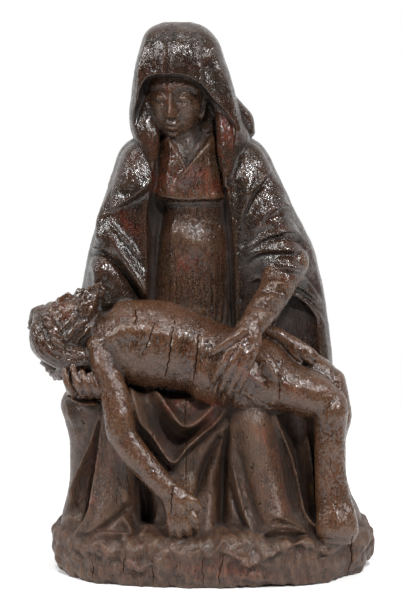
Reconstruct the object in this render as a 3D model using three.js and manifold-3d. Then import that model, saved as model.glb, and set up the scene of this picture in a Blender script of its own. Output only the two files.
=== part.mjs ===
// Pieta. A hooded mother sits on a block with her dead son across her lap, on a rocky oval plinth.
// The real one is carved from a single piece of oak, so everything here is joined into one solid.
import * as THREE from "three";
import { LoftGeometry } from "three/addons/geometries/LoftGeometry.js";
import { mergeVertices } from "three/addons/utils/BufferGeometryUtils.js";
import Module from "manifold-3d";

// Driving dimensions, in millimetres.
const PLINTH_WIDTH = 368;
const PLINTH_DEPTH = 236;
const PLINTH_HEIGHT = 43;
const FIGURE_HEIGHT = 580;
const ROCK_HEIGHT = 3.4;
const BACK_FOLD_HEIGHT = 4;
const BACK_FOLD_SPACING = 56;
const CROWN_THORNS = 11;
const THORN_LENGTH = 11;

// The carving is drawn in millimetres on a figure this high, measured from the plinth's top.
// x runs to the viewer's right, y away from the viewer, z up. It is scaled to FIGURE_HEIGHT.
const DRAWN_HEIGHT = 580;
const CARVING_SCALE = FIGURE_HEIGHT / DRAWN_HEIGHT;
const DRAWN_BACK_FOLD = BACK_FOLD_SPACING / CARVING_SCALE;

const TOWARDS_VIEWER = new THREE.Vector3(0, -1, 0);
const IN_FRONT = -900;
const MERGE_DISTANCE = 1e-3;

const wasm = await Module();
wasm.setup();

const onPlinth = new THREE.Vector3(0, 0, PLINTH_HEIGHT);
const carved = (x, y, z) => new THREE.Vector3(x, y, z).multiplyScalar(CARVING_SCALE).add(onPlinth);

// Solids: making them, joining and cutting them, and turning them back into geometry.

function solidOf(geometry) {
  const plain = new THREE.BufferGeometry();
  plain.setAttribute("position", geometry.getAttribute("position"));
  plain.setIndex(geometry.index);
  const merged = mergeVertices(plain, MERGE_DISTANCE);
  return new wasm.Manifold(new wasm.Mesh({
    numProp: 3,
    vertProperties: merged.attributes.position.array,
    triVerts: new Uint32Array(merged.index.array),
  }));
}

function geometryOf(solid) {
  const { vertProperties, triVerts, numProp } = solid.getMesh();
  const geometry = new THREE.BufferGeometry();
  geometry.setAttribute("position", new THREE.BufferAttribute(vertProperties, numProp));
  geometry.setIndex(new THREE.BufferAttribute(triVerts, 1));
  return geometry;
}

const join = (...solids) => solids.flat(2).reduce((all, next) => all.add(next));
const cut = (body, ...tools) => tools.flat(2).reduce((all, next) => all.subtract(next), body);
const loft = (rings) => solidOf(new LoftGeometry(rings, { capStart: true, capEnd: true }));

// Limbs: a rounded rod through stations [x, y, z, half width, half thickness].
// The width lies across the rod as the viewer sees it, and the thickness points at the viewer.
// Each end runs out by a share of the radius and shrinks to another share, so that it looks rounded.

const END_REACH = 0.55;
const END_SHARE = 0.66;

function limb(stations, sides = 8, facing = TOWARDS_VIEWER) {
  const centres = stations.map(([x, y, z]) => new THREE.Vector3(x, y, z));
  const last = centres.length - 1;
  const alongs = centres.map((_, i) =>
    centres[Math.min(i + 1, last)].clone().sub(centres[Math.max(i - 1, 0)]).normalize());

  const ring = (i, out, share) => {
    const thickWay = facing.clone().addScaledVector(alongs[i], -facing.dot(alongs[i])).normalize();
    const wideWay = thickWay.clone().cross(alongs[i]);
    const [, , , wide, thick = wide] = stations[i];
    const middle = centres[i].clone().addScaledVector(alongs[i], out * Math.min(wide, thick));
    return Array.from({ length: sides }, (_, j) => {
      const turn = (j + 0.5) / sides * 2 * Math.PI;
      const point = middle.clone();
      point.addScaledVector(wideWay, wide * share * Math.cos(turn));
      point.addScaledVector(thickWay, thick * share * Math.sin(turn));
      return carved(...point);
    });
  };

  return loft([
    ring(0, -END_REACH, END_SHARE),
    ...centres.map((_, i) => ring(i, 0, 1)),
    ring(last, END_REACH, END_SHARE),
  ]);
}

// A rod that lies on a solid's front, from points [x, z, half width, half thickness].
// Its middle is sunk below the surface by a share of the thickness.
function laidOn(solid, points, { sink = 0.3, sides = 5 } = {}) {
  const surface = new THREE.Mesh(geometryOf(solid));
  surface.material.side = THREE.DoubleSide;
  return limb(points.map(([x, z, wide, thick = wide]) => {
    const ray = new THREE.Raycaster(carved(x, IN_FRONT, z), new THREE.Vector3(0, 1, 0));
    const [hit] = ray.intersectObject(surface);
    return [x, hit.point.y / CARVING_SCALE + sink * thick, z, wide, thick];
  }), sides);
}

// Hanging forms: rings around rows [z, left, right, front, back].
// A higher power makes a ring squarer, and lift(x, z, outward) pushes its points outwards.

const HALF_RING_POINTS = 90;
const bulge = (value, power) => Math.sign(value) * Math.abs(value) ** (2 / power);

function halfRing(from, power, [left, right, front, back], count) {
  const dense = Array.from({ length: HALF_RING_POINTS + 1 }, (_, i) => {
    const turn = from + i / HALF_RING_POINTS * Math.PI;
    const x = (left + right) / 2 + bulge(Math.cos(turn), power) * (right - left) / 2;
    const y = (front + back) / 2 + bulge(Math.sin(turn), power) * (back - front) / 2;
    return new THREE.Vector2(x, y);
  });
  return new THREE.Path(dense).getSpacedPoints(count).slice(0, count);
}

function envelope(rows, options = {}) {
  const { front = 24, back = 12, frontPower = 2.2, backPower = 3, lift = () => 0, place = carved } = options;
  const rings = rows.map(([z, ...box]) => {
    const points = [...halfRing(0, backPower, box, back), ...halfRing(Math.PI, frontPower, box, front)];
    return points.map((point, j) => {
      const before = points.at(j - 1);
      const after = points[(j + 1) % points.length];
      const outward = new THREE.Vector2(after.y - before.y, before.x - after.x).normalize();
      const moved = point.clone().addScaledVector(outward, lift(point.x, z, outward.y));
      return place(moved.x, moved.y, z);
    });
  });
  if (rows[0][0] > rows.at(-1)[0]) rings.reverse();
  return loft(rings);
}

// An ellipsoid with radii [wide, deep, high], leaned to the viewer's right by tilt degrees.
function egg([x, y, z], [wide, deep, high], tilt = 0, columns = 11, rows = 7) {
  const ball = new THREE.SphereGeometry(1, columns, rows);
  ball.rotateX(Math.PI / 2);
  ball.scale(wide, deep, high);
  ball.rotateY(THREE.MathUtils.degToRad(tilt));
  ball.translate(x, y, z);
  return solidOf(scaled(ball));
}

function scaled(geometry) {
  geometry.scale(CARVING_SCALE, CARVING_SCALE, CARVING_SCALE);
  geometry.translate(...onPlinth);
  return geometry;
}

// Carved relief: strokes of points [x, z, width, height], high in the middle and soft at the sides.
function relief(strokes, x, z) {
  let total = 0;
  for (const stroke of strokes) {
    let nearest = Infinity;
    let pushed = 0;
    for (let i = 0; i < stroke.length - 1; i++) {
      const [ax, az, aWidth, aHeight] = stroke[i];
      const [bx, bz, bWidth, bHeight] = stroke[i + 1];
      const dx = bx - ax;
      const dz = bz - az;
      const along = THREE.MathUtils.clamp(((x - ax) * dx + (z - az) * dz) / (dx * dx + dz * dz), 0, 1);
      const away = Math.hypot(x - ax - along * dx, z - az - along * dz);
      const width = THREE.MathUtils.lerp(aWidth, bWidth, along);
      if (away < nearest) {
        nearest = away;
        pushed = THREE.MathUtils.lerp(aHeight, bHeight, along) * Math.exp(-((away / width) ** 2));
      }
    }
    total += pushed;
  }
  return total;
}

// The back has only shallow upright folds, which fade out over the shoulders.
const BACK_FOLDS_END = 430;
const BACK_FOLDS_FADE = 200;
const FRONT_RELIEF_REACH = 1.3;

function backFolds(x, z) {
  const fade = THREE.MathUtils.clamp((BACK_FOLDS_END - z) / BACK_FOLDS_FADE, 0, 1);
  return BACK_FOLD_HEIGHT * fade * Math.sin(2 * Math.PI * x / DRAWN_BACK_FOLD);
}

const clothOf = (strokes) => (x, z, outward) => outward < 0
  ? relief(strokes, x, z) * Math.min(1, -FRONT_RELIEF_REACH * outward)
  : backFolds(x, z) * outward;

// Plinth: a low oval mound with a rocky rim, from shares of its height and of its width and depth.
const PLINTH_RIM = [[0, 0.93], [0.27, 0.98], [0.8, 1], [1.17, 0.95], [1.35, 0.85], [1.46, 0.68]];
const ROCK_FADE = 12;

function plinth() {
  const rocks = (x, z) =>
    ROCK_HEIGHT * Math.sin(x / 9 + 1) * Math.sin(x / 23 + z / 13) * Math.min(1, z / ROCK_FADE);
  const rows = PLINTH_RIM.map(([up, share]) => {
    const halfWidth = share * PLINTH_WIDTH / 2;
    const halfDepth = share * PLINTH_DEPTH / 2;
    return [up * PLINTH_HEIGHT, -halfWidth, halfWidth, -halfDepth, halfDepth];
  });
  const place = (x, y, z) => new THREE.Vector3(x, y, z);
  return envelope(rows, { front: 26, back: 12, frontPower: 2.3, backPower: 2.5, lift: rocks, place });
}

// Skirt: it covers the legs and the block she sits on, with its hem spread over the rock.
const SKIRT_ROWS = [
  [-18, -174, 174, -88, 94], [-11, -179, 173, -84, 96],
  [8, -175, 168, -75, 97], [27, -169, 159, -68, 97], [45, -166, 155, -63, 96], [64, -163, 151, -60, 95],
  [83, -163, 149, -58, 95], [100, -164, 147, -58, 95], [115, -165, 146, -58, 95], [130, -166, 145, -57, 95],
  [146, -171, 142, -56, 95], [161, -172, 140, -52, 95], [176, -167, 139, -42, 95],
];
const SKIRT_LEGS = [
  [[25, 172, 24, 18], [40, 148, 27, 38], [45, 101, 25, 32], [57, 56, 29, 32], [70, 11, 34, 34]],
  [[-75, 172, 22, 16], [-95, 154, 26, 28], [-107, 107, 24, 26], [-117, 56, 26, 28], [-129, 11, 34, 32]],
];
const SKIRT_LAP_FOLDS = [
  [[-81, 177, 8, 12], [-57, 154, 8, 17], [-34, 133, 8, 20], [-7, 150, 8, 17], [19, 163, 8, 10]],
  [[-73, 130, 8, 10], [-56, 109, 8, 15], [-37, 90, 8, 21], [-8, 123, 8, 17], [25, 157, 9, 12]],
];
const SKIRT_PANEL = [
  [[-28, 66, 20, 10], [-24, 33, 24, 18], [-19, -4, 26, 26]],
  [[10, 125, 6, -6], [-8, 94, 7, -12], [-25, 54, 6, -6]],
];
const SKIRT_HOLLOWS = [
  [[21, 150, 6, -10], [14, 107, 8, -28], [12, 62, 9, -36], [7, -1, 9, -36]],
  [[-70, 105, 8, -8], [-70, 50, 10, -26], [-72, -4, 11, -28]],
  [[90, 135, 11, -16], [105, 90, 12, -20], [115, 33, 11, -18]],
  [[-129, 118, 6, -6], [-131, 62, 8, -15], [-138, 30, 8, -14]],
  [[-95, 37, 7, -12], [-118, 12, 7, -12]],
];
const SKIRT_LEG_FOLDS = [
  [[28, 118, 7, 4], [33, 73, 8, 8], [41, 5, 9, 10]],
  [[70, 161, 7, 8], [85, 116, 7, 11], [100, 62, 8, 13], [117, 11, 9, 12]],
  [[-115, 163, 8, 6], [-117, 107, 8, 8], [-122, 50, 9, 10], [-142, 16, 9, 12]],
  [[-126, 163, 6, 5], [-134, 107, 7, 9], [-144, 45, 7, 10], [-159, 25, 8, 10]],
  [[-89, 118, 7, 6], [-86, 50, 7, 11], [-82, -1, 8, 12]],
];
const SKIRT_HEMS = [
  [[21, -13, 9, 8], [55, -2, 9, 10], [80, 5, 9, 10], [117, -7, 9, 8]],
  [[-159, 163, 9, 5], [-161, 50, 9, 6], [-171, 14, 12, 10]],
];

function skirt() {
  const strokes = [
    ...SKIRT_LEGS, ...SKIRT_LAP_FOLDS, ...SKIRT_PANEL, ...SKIRT_HOLLOWS, ...SKIRT_LEG_FOLDS, ...SKIRT_HEMS,
  ];
  return envelope(SKIRT_ROWS, { front: 36, back: 8, frontPower: 3.2, lift: clothOf(strokes) });
}

// Cloak: the mantle over arms and back with the hood above it, cut open down the front.
const MANTLE_ROWS = [
  [169, -168, 138, -36, 95], [206, -156, 134, -33, 95], [245, -150, 131, -32, 94], [278, -146, 124, -32, 92],
  [307, -142, 118, -32, 89], [329, -139, 114, -31, 87], [350, -133, 106, -29, 85],
  [371, -127, 93, -28, 82], [391, -120, 84, -26, 79], [412, -113, 73, -23, 76],
  [432, -105, 61, -15, 72], [445, -92, 47, -8, 68], [453, -74, 29, -2, 62],
];
const MANTLE_ARMS = [
  [[54, 430, 22, 8], [71, 383, 25, 20], [82, 332, 24, 27], [83, 307, 18, 24]],
  [[-95, 430, 20, 8], [-112, 377, 24, 16], [-121, 327, 22, 20], [-120, 270, 22, 16]],
];
const MANTLE_SHOULDERS = [
  [[-84, 450, 14, 7], [-86, 422, 18, 11], [-88, 394, 18, 10]],
  [[37, 450, 12, 6], [43, 422, 16, 8]],
];
const MANTLE_HOLLOWS = [
  [[67, 419, 7, -7], [50, 394, 8, -10], [34, 372, 8, -10], [30, 338, 8, -6]],
  [[97, 282, 10, -8], [118, 237, 12, -12]],
  [[-83, 358, 12, -14], [-82, 327, 12, -14], [-74, 282, 9, -8]],
];
const HOOD_ROWS = [
  [410, -83, 35, -20, 70], [436, -91, 42, -30, 69], [453, -93, 41, -38, 67],
  [470, -94, 34, -45, 65], [495, -92, 27, -47, 63], [521, -89, 19, -47, 58],
  [540, -86, 13, -46, 52], [556, -81, 7, -42, 44], [567, -74, -1, -34, 36],
  [576, -63, -12, -20, 27], [580, -51, -26, -6, 19],
];
const OPENING_FRONT = -130;
const OPENING_ROWS = [
  [208, -72, 29, OPENING_FRONT, 10], [323, -79, 24, OPENING_FRONT, 10],
  [363, -85, 20, OPENING_FRONT, 10], [391, -72, 19, OPENING_FRONT, 10],
  [461, -85, 27, OPENING_FRONT, 10],
  [476, -82, 18, OPENING_FRONT, 8], [493, -79, 7, OPENING_FRONT, 5],
  [509, -74, -7, OPENING_FRONT, 0], [520, -69, -19, OPENING_FRONT, -12],
  [525, -54, -36, OPENING_FRONT, -25],
];
const SLEEVE_HOLLOW = [
  [96, -60, 253, 13, 46], [107, -56, 236, 19, 48], [110, -50, 213, 19, 46], [98, -44, 189, 16, 40],
];
const CLOAK_FOLDS = [
  // over her left arm and falling from the elbow
  [[35, 340, 6, 5], [52, 367, 9, 8], [77, 378, 10, 9], [99, 364, 8, 8], [115, 321, 7, 6]],
  [[44, 313, 6, 5], [55, 337, 9, 9], [78, 345, 10, 10], [97, 329, 8, 8], [121, 280, 7, 6]],
  [[50, 298, 7, 7], [64, 316, 12, 11], [84, 314, 13, 12], [101, 295, 10, 9], [129, 242, 7, 6]],
  [[68, 416, 6, 5], [54, 397, 8, 6], [40, 374, 6, 5]],
  // over her right arm
  [[-115, 407, 8, 6], [-123, 369, 10, 8], [-130, 335, 9, 7]],
  [[-124, 329, 6, 5], [-109, 311, 9, 7], [-91, 285, 9, 7], [-80, 267, 6, 5]],
  // the hood's edge over the right shoulder
  [[-68, 392, 5, 5], [-87, 377, 8, 6], [-106, 364, 6, 5]],
  // creases above the brow
  [[-48, 562, 3, 3], [-47, 544, 5, 4], [-48, 527, 3, 3]],
  [[-17, 560, 3, 3], [-14, 540, 5, 4], [-11, 518, 3, 3]],
];
const VEIL_FOLD = [[24, 18, 494, 8, 14], [33, 22, 474, 9, 16], [42, 26, 454, 6, 12]];

function cloak() {
  const strokes = [...MANTLE_ARMS, ...MANTLE_SHOULDERS, ...MANTLE_HOLLOWS];
  const mantle = envelope(MANTLE_ROWS, { front: 28, back: 8, frontPower: 3, lift: clothOf(strokes) });
  const hood = envelope(HOOD_ROWS, { front: 13, back: 7, frontPower: 2.8, backPower: 2.2 });
  const opening = envelope(OPENING_ROWS, { front: 4, back: 10, frontPower: 4, backPower: 3.4 });
  const open = cut(join(mantle, hood), opening, limb(SLEEVE_HOLLOW));
  return join(open, CLOAK_FOLDS.map((fold) => laidOn(open, fold, { sink: 0.45 })), limb(VEIL_FOLD));
}

// Dress: the bodice with its seam, the crossed kerchief and the neck.
const BODICE_ROWS = [
  [215, -80, 33, -26, 60], [273, -71, 26, -20, 60], [335, -62, 22, -14, 60],
  [377, -63, 19, -18, 60], [386, -67, 20, -23, 60], [420, -71, 19, -22, 60],
  [439, -62, 10, -14, 50], [448, -53, -3, -6, 40],
];
const KERCHIEF = [
  [[-60, 435, 8, 5], [-48, 423, 8, 5], [-34, 407, 5, 4]],
  [[-1, 435, 8, 5], [-15, 420, 9, 6], [-33, 407, 6, 4]],
];
const NECK = [[-35, 0, 461, 20, 20], [-31, 2, 434, 24, 22]];

function dress() {
  const bodice = envelope(BODICE_ROWS, { front: 10, back: 4, frontPower: 2.6 });
  return join(bodice, limb(NECK), KERCHIEF.map((band) => laidOn(bodice, band, { sink: 0.2 })));
}

// Faces share one plain design, on the rule that the eyes lie halfway from crown to chin,
// the nose ends halfway from the eyes to the chin, and the mouth a third of the way below it.
// Each point is [across, up, forward, half width, half thickness] in half heights of the head.
const FACE_NOSE = [[0, 0.1, 0.8, 0.09, 0.1], [0, -0.2, 0.92, 0.1, 0.12], [0, -0.44, 0.98, 0.13, 0.12]];
const FACE_BROW = [
  [0.1, 0.16, 0.82, 0.07, 0.06], [0.36, 0.2, 0.74, 0.07, 0.07], [0.6, 0.1, 0.5, 0.06, 0.06],
];
const FACE_EYE = [[0.2, 0, 0.74, 0.07, 0.06], [0.37, 0.01, 0.73, 0.11, 0.1], [0.54, -0.01, 0.6, 0.07, 0.06]];
const FACE_LIPS = [
  [-0.2, -0.63, 0.76, 0.05, 0.06], [0, -0.62, 0.84, 0.08, 0.08], [0.2, -0.63, 0.76, 0.05, 0.05],
];

function features(centre, forward, crown, halfHeight) {
  const ahead = new THREE.Vector3(...forward).normalize();
  const top = new THREE.Vector3(...crown);
  const up = top.addScaledVector(ahead, -ahead.dot(top)).normalize();
  const side = ahead.clone().cross(up);
  const rod = (points, mirror) => limb(points.map(([across, rise, out, wide, thick]) => {
    const point = new THREE.Vector3(...centre);
    point.addScaledVector(side, across * mirror * halfHeight);
    point.addScaledVector(up, rise * halfHeight);
    point.addScaledVector(ahead, out * halfHeight);
    return [...point, wide * halfHeight, thick * halfHeight];
  }), 5, ahead);
  return [
    rod(FACE_NOSE, 1), rod(FACE_LIPS, 1),
    rod(FACE_BROW, 1), rod(FACE_BROW, -1), rod(FACE_EYE, 1), rod(FACE_EYE, -1),
  ];
}

const MOTHER_HEAD = [-40, 6, 498];
const MOTHER_HEAD_RADII = [33, 39, 49];
const MOTHER_JAW = [[-39, -14, 484, 27, 26], [-40, -19, 469, 22, 22], [-40, -24, 457, 12, 14]];

function motherHead() {
  return join(
    egg(MOTHER_HEAD, MOTHER_HEAD_RADII, 4),
    limb(MOTHER_JAW, 10),
    features(MOTHER_HEAD, [-0.18, -1, -0.2], [0.03, -0.2, 1], MOTHER_HEAD_RADII[2]),
  );
}

// Her arms: the left forearm leaves the sleeve and rests on her son, the right hand holds up his head.
const LEFT_FOREARM = [
  [83, -22, 311, 23, 24], [71, -48, 283, 19, 19], [54, -74, 261, 16, 16], [39, -92, 247, 13, 12],
];
const LEFT_PALM = [[38, -95, 246, 13, 11], [33, -101, 231, 15, 10], [28, -103, 222, 15, 8]];
const LEFT_FINGERS = [
  [[29, -102, 242, 6], [16, -105, 231, 6], [3, -102, 220, 5]],
  [[22, -106, 229, 5.5], [14, -106, 216, 5], [6, -100, 200, 4.5]],
  [[28, -108, 225, 5.5], [19, -107, 207, 5], [12, -99, 189, 4.5]],
  [[35, -108, 221, 5.5], [27, -106, 202, 5], [19, -99, 183, 4.5]],
  [[41, -106, 222, 5.5], [36, -105, 204, 5], [29, -100, 187, 4.5]],
];
const RIGHT_PALM = [[-147, -10, 184, 18, 18], [-152, -44, 173, 16, 14], [-140, -62, 171, 17, 12]];
const RIGHT_FINGERS = [
  [[-166, -76, 201, 4.5], [-162, -80, 186, 5], [-153, -76, 172, 5.5]],
  [[-155, -81, 201, 4.5], [-151, -84, 185, 5], [-141, -78, 170, 5.5]],
  [[-145, -82, 199, 4.5], [-141, -84, 184, 5], [-131, -78, 170, 5.5]],
  [[-135, -82, 195, 4.5], [-131, -83, 182, 5], [-124, -78, 172, 5.5]],
];

const fingers = (lists) => lists.map((points) => limb(points, 5));
const motherArms = () => join(
  limb(LEFT_FOREARM, 10), limb(LEFT_PALM), fingers(LEFT_FINGERS), limb(RIGHT_PALM), fingers(RIGHT_FINGERS));

// The son: his body lies across her lap, one arm hangs, and his legs go down her left side.
const SON_TORSO = [
  [-129, -42, 229, 30, 26], [-113, -46, 227, 40, 34], [-87, -50, 222, 48, 41], [-56, -51, 215, 50, 42],
  [-24, -51, 206, 44, 39], [10, -52, 200, 42, 39], [48, -52, 191, 41, 40], [66, -50, 184, 34, 36],
];
const SON_HANGING_ARM = [
  [[-117, -70, 223, 22, 20], [-113, -82, 181, 17, 17], [-108, -91, 145, 17, 16], [-99, -95, 126, 18, 16]],
  [[-101, -95, 128, 18, 16], [-80, -98, 102, 16, 14], [-48, -103, 68, 11.5, 10]],
  [[-50, -103, 69, 13, 9], [-40, -105, 50, 18, 9], [-36, -105, 37, 17, 8]],
];
const SON_HANGING_FINGERS = [
  [[-30, -108, 43, 5], [-26, -108, 30, 4.6], [-26, -104, 18, 4]],
  [[-37, -110, 41, 5], [-33, -109, 26, 4.6], [-32, -104, 14, 4]],
  [[-44, -109, 42, 5], [-41, -109, 27, 4.6], [-39, -104, 15, 4]],
  [[-51, -108, 47, 5], [-49, -108, 34, 4.6], [-47, -104, 21, 4]],
  [[-35, -107, 62, 5.5], [-23, -108, 53, 5], [-14, -106, 49, 4.5]],
];
const SON_FAR_HAND = [
  [[47, -40, 242, 13, 12], [66, -50, 234, 12, 11], [79, -56, 226, 9, 8], [90, -60, 221, 11, 7]],
];
const SON_FAR_FINGERS = [
  [[93, -62, 225, 4], [104, -62, 219, 4], [114, -62, 211, 3.6]],
  [[92, -64, 221, 4], [102, -64, 214, 4], [110, -63, 207, 3.6]],
  [[89, -65, 216, 4], [98, -65, 210, 4], [105, -65, 203, 3.6]],
];
const SON_LEGS = [
  [[41, -62, 183, 36, 32], [80, -66, 179, 31, 30], [114, -68, 168, 26, 26], [133, -70, 155, 21, 22]],
  [[133, -70, 158, 22, 22], [129, -74, 117, 20, 20], [128, -77, 78, 19, 18], [128, -80, 48, 18, 17]],
  [[125, -78, 41, 16, 16], [139, -92, 26, 17, 13]],
  [[47, -30, 210, 28, 28], [92, -34, 204, 26, 26], [123, -38, 193, 23, 24], [140, -42, 179, 18, 20]],
  [[141, -42, 178, 18, 18], [145, -46, 124, 16, 16], [150, -48, 67, 15, 15], [158, -50, 30, 16, 14]],
  [[157, -50, 30, 13, 13], [167, -66, 20, 14, 10]],
];
// Wood left standing behind his legs, which ties them to the block.
const SON_LEG_WEB = [
  [140, -18, 153, 13, 32], [145, -22, 108, 13, 34], [150, -24, 50, 14, 34], [156, -30, 7, 17, 36],
];
const LOINCLOTH = [
  [[10, 238, 8, 5], [1, 218, 9, 6], [-7, 193, 8, 6], [-9, 166, 7, 5]],
  [[34, 218, 8, 5], [22, 190, 8, 6], [14, 160, 6, 5]],
  [[54, 218, 7, 5], [69, 193, 9, 6], [67, 166, 7, 5]],
];

function son() {
  const body = join(limb(SON_TORSO, 12), SON_LEGS.map((leg) => limb(leg, 7)));
  return join(
    body,
    SON_HANGING_ARM.map((part) => limb(part, 7)),
    SON_FAR_HAND.map((part) => limb(part, 6)),
    fingers(SON_HANGING_FINGERS), fingers(SON_FAR_FINGERS),
    limb(SON_LEG_WEB, 6),
    LOINCLOTH.map((fold) => laidOn(body, fold, { sink: 0.2 })),
  );
}

// His head lies back over her hand, bearded and long-haired, in a crown of thorns.
const SON_HEAD = [-167, -43, 236];
const SON_HEAD_RADII = [38, 30, 33];
const SON_HEAD_FORMS = [
  [[-160, -50, 238, 26, 24], [-144, -52, 245, 20, 20], [-136, -50, 249, 14, 16]],
  [[-144, -52, 252, 16, 14], [-137, -50, 265, 12, 12], [-133, -48, 274, 8, 9]],
  [[-145, -44, 231, 20, 20], [-122, -44, 226, 24, 24]],
  [[-187, -58, 216, 16, 12], [-166, -64, 208, 16, 14], [-144, -66, 202, 13, 12], [-130, -64, 192, 9, 9]],
];
const SON_LOCKS = [
  [[-197, 246, 6], [-200, 224, 6], [-190, 204, 6]],
  [[-181, 223, 6], [-164, 214, 7], [-144, 207, 7], [-129, 198, 5]],
  [[-186, 210, 6], [-168, 201, 7], [-148, 195, 6]],
  [[-146, 250, 5], [-140, 263, 6], [-137, 275, 5]],
];
const CROWN_CENTRE = [-182, -43, 223];
const HAIR_RADII = [24, 32, 38];
const CROWN_AXIS = new THREE.Vector3(-0.9, 0.38, -0.2).normalize();
const CROWN_RADII = [33, 40];
const CROWN_BAND = 5.5;

function sonHead() {
  const skull = join(
    egg(SON_HEAD, SON_HEAD_RADII, 10),
    egg(CROWN_CENTRE, HAIR_RADII, -10),
    SON_HEAD_FORMS.map((form) => limb(form, 7)),
  );
  return join(
    skull,
    SON_LOCKS.map((lock) => laidOn(skull, lock)),
    features(SON_HEAD, [-0.05, -0.34, 0.94], [-1, 0, -0.16], SON_HEAD_RADII[0]),
    crown(),
  );
}

function crown() {
  const turned = new THREE.Quaternion().setFromUnitVectors(new THREE.Vector3(0, 0, 1), CROWN_AXIS);
  const [wide, high] = CROWN_RADII;
  const middle = (wide + high) / 2;
  const band = new THREE.TorusGeometry(middle, CROWN_BAND, 5, 14);
  band.scale(wide / middle, high / middle, 1);
  band.applyQuaternion(turned);
  band.translate(...CROWN_CENTRE);

  const thorns = Array.from({ length: CROWN_THORNS }, (_, i) => {
    const turn = i / CROWN_THORNS * 2 * Math.PI;
    const outward = new THREE.Vector3(Math.cos(turn), Math.sin(turn), i % 2 ? 0.4 : -0.3);
    const root = new THREE.Vector3(wide * Math.cos(turn), high * Math.sin(turn), 0);
    const cone = new THREE.ConeGeometry(CROWN_BAND * 0.8, THORN_LENGTH / CARVING_SCALE + CROWN_BAND, 4);
    cone.translate(0, THORN_LENGTH / CARVING_SCALE / 2, 0);
    cone.applyQuaternion(new THREE.Quaternion().setFromUnitVectors(
      new THREE.Vector3(0, 1, 0), outward.applyQuaternion(turned).normalize()));
    cone.translate(...root.applyQuaternion(turned).add(new THREE.Vector3(...CROWN_CENTRE)));
    return solidOf(scaled(cone));
  });
  return join(solidOf(scaled(band)), thorns);
}

const OAK = new THREE.MeshStandardMaterial({ color: "#3b2619", roughness: 0.38, metalness: 0 });
const carving = new THREE.Mesh(
  geometryOf(join(plinth(), skirt(), cloak(), dress(), motherHead(), motherArms(), son(), sonHead())), OAK);
carving.name = "pieta_group";

const group = new THREE.Group();
group.add(carving);
export default group;
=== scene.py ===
# %% [markdown]
# # A carved oak pieta
# A hooded mother sits with her dead son across her lap, cut with their rocky plinth from one piece of
# oak about 60 cm high, five centuries old, waxed almost black and worn back to brown and red.
# This lesson carves it again. The solid from the construction model gives the place and the size.
# The carving is roughed out from rounded masses of clay, as a sculptor would before touching the oak,
# fused into one skin, and then cut with strokes of a chisel that are laid on it where the viewer
# sees them. Last come the drying cracks, the finish, and a plain studio to look at it in.

# %% The frame and the tools
import math
import bpy
import bmesh
import numpy as np
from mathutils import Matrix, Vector
from mathutils.bvhtree import BVHTree
from mathutils.kdtree import KDTree


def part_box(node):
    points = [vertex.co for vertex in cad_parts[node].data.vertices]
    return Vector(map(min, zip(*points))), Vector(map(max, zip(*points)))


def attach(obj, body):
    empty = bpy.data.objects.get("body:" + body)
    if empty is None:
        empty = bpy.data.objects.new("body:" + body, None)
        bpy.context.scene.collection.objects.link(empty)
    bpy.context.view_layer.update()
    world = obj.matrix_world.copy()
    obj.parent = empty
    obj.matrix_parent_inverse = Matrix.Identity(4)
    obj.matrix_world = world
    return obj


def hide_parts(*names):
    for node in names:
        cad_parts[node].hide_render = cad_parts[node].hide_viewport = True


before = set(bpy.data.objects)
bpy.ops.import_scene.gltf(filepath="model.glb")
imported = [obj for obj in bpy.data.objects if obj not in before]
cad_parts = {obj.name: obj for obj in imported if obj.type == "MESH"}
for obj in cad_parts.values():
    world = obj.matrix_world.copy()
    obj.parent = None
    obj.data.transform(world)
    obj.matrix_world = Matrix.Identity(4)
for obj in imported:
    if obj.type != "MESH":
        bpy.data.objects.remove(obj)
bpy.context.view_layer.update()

NODE = "pieta_group"

# %% [markdown]
# ## Drawing on the block
# The carving is drawn in millimetres, with x to the viewer's right, y away from the viewer and z up
# from the plinth's top. The camera is settled first, because the folds are drawn where it sees them:
# on an upright sheet of glass through the middle of the block, at y = 0. A stroke at (x, z) on that
# glass is carved where the line from the eye through (x, z) first meets the wood.

# %% Sizes and the viewer's eye
PLINTH_HEIGHT = 43.0
DRAWN_HEIGHT = 580.0
low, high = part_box(NODE)
METRES = (high[2] - low[2] - PLINTH_HEIGHT / 1000) / DRAWN_HEIGHT
LIFT = low[2] / METRES + PLINTH_HEIGHT

VIEW_TILT = math.radians(7)
VIEW_DISTANCE = 2600.0
VIEW_CENTRE = Vector((-13.0, 0.0, 260.5))
EYE = VIEW_CENTRE + VIEW_DISTANCE * Vector((0, -math.cos(VIEW_TILT), math.sin(VIEW_TILT)))
TOWARDS_VIEWER = (0, -1, 0)
print("one drawn millimetre is", round(METRES * 1000, 4), "mm")


def seen(points):
    """Where the eye sees points, on the glass at y = 0: arrays of x and z."""
    eye = np.array(EYE)
    share = -eye[1] / (points[:, 1] - eye[1])
    on_glass = eye + (points - eye) * share[:, None]
    return on_glass[:, 0], on_glass[:, 2]


# %% [markdown]
# ## Clay
# Each mass starts as one closed ball from bmesh, because a ball has no seams or open ends to mend.
# Its rings of latitude are then moved to follow a limb or a hanging cloth. Rows of sizes are joined
# by a Catmull-Rom curve, which runs through every row and needs few of them.

# %% Curves through rows
def flowing(rows, spacing, columns=3):
    """Rows joined by a smooth curve, with a new row about every spacing along the first columns."""
    rows = np.array(rows, float)
    before = np.vstack([rows[:1], rows[:-1]])
    after = np.vstack([rows[1:], rows[-1:]])
    made = []
    for i in range(len(rows) - 1):
        steps = max(1, round(np.linalg.norm(rows[i + 1, :columns] - rows[i, :columns]) / spacing))
        f = np.arange(steps)[:, None] / steps
        a, b, c, d = before[i], rows[i], rows[i + 1], after[min(i + 1, len(rows) - 1)]
        made.append(b + 0.5 * f * (c - a + f * (2 * a - 5 * b + 4 * c - d + f * (3 * (b - c) + d - a))))
    return np.vstack(made + [rows[-1:]])


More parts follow.
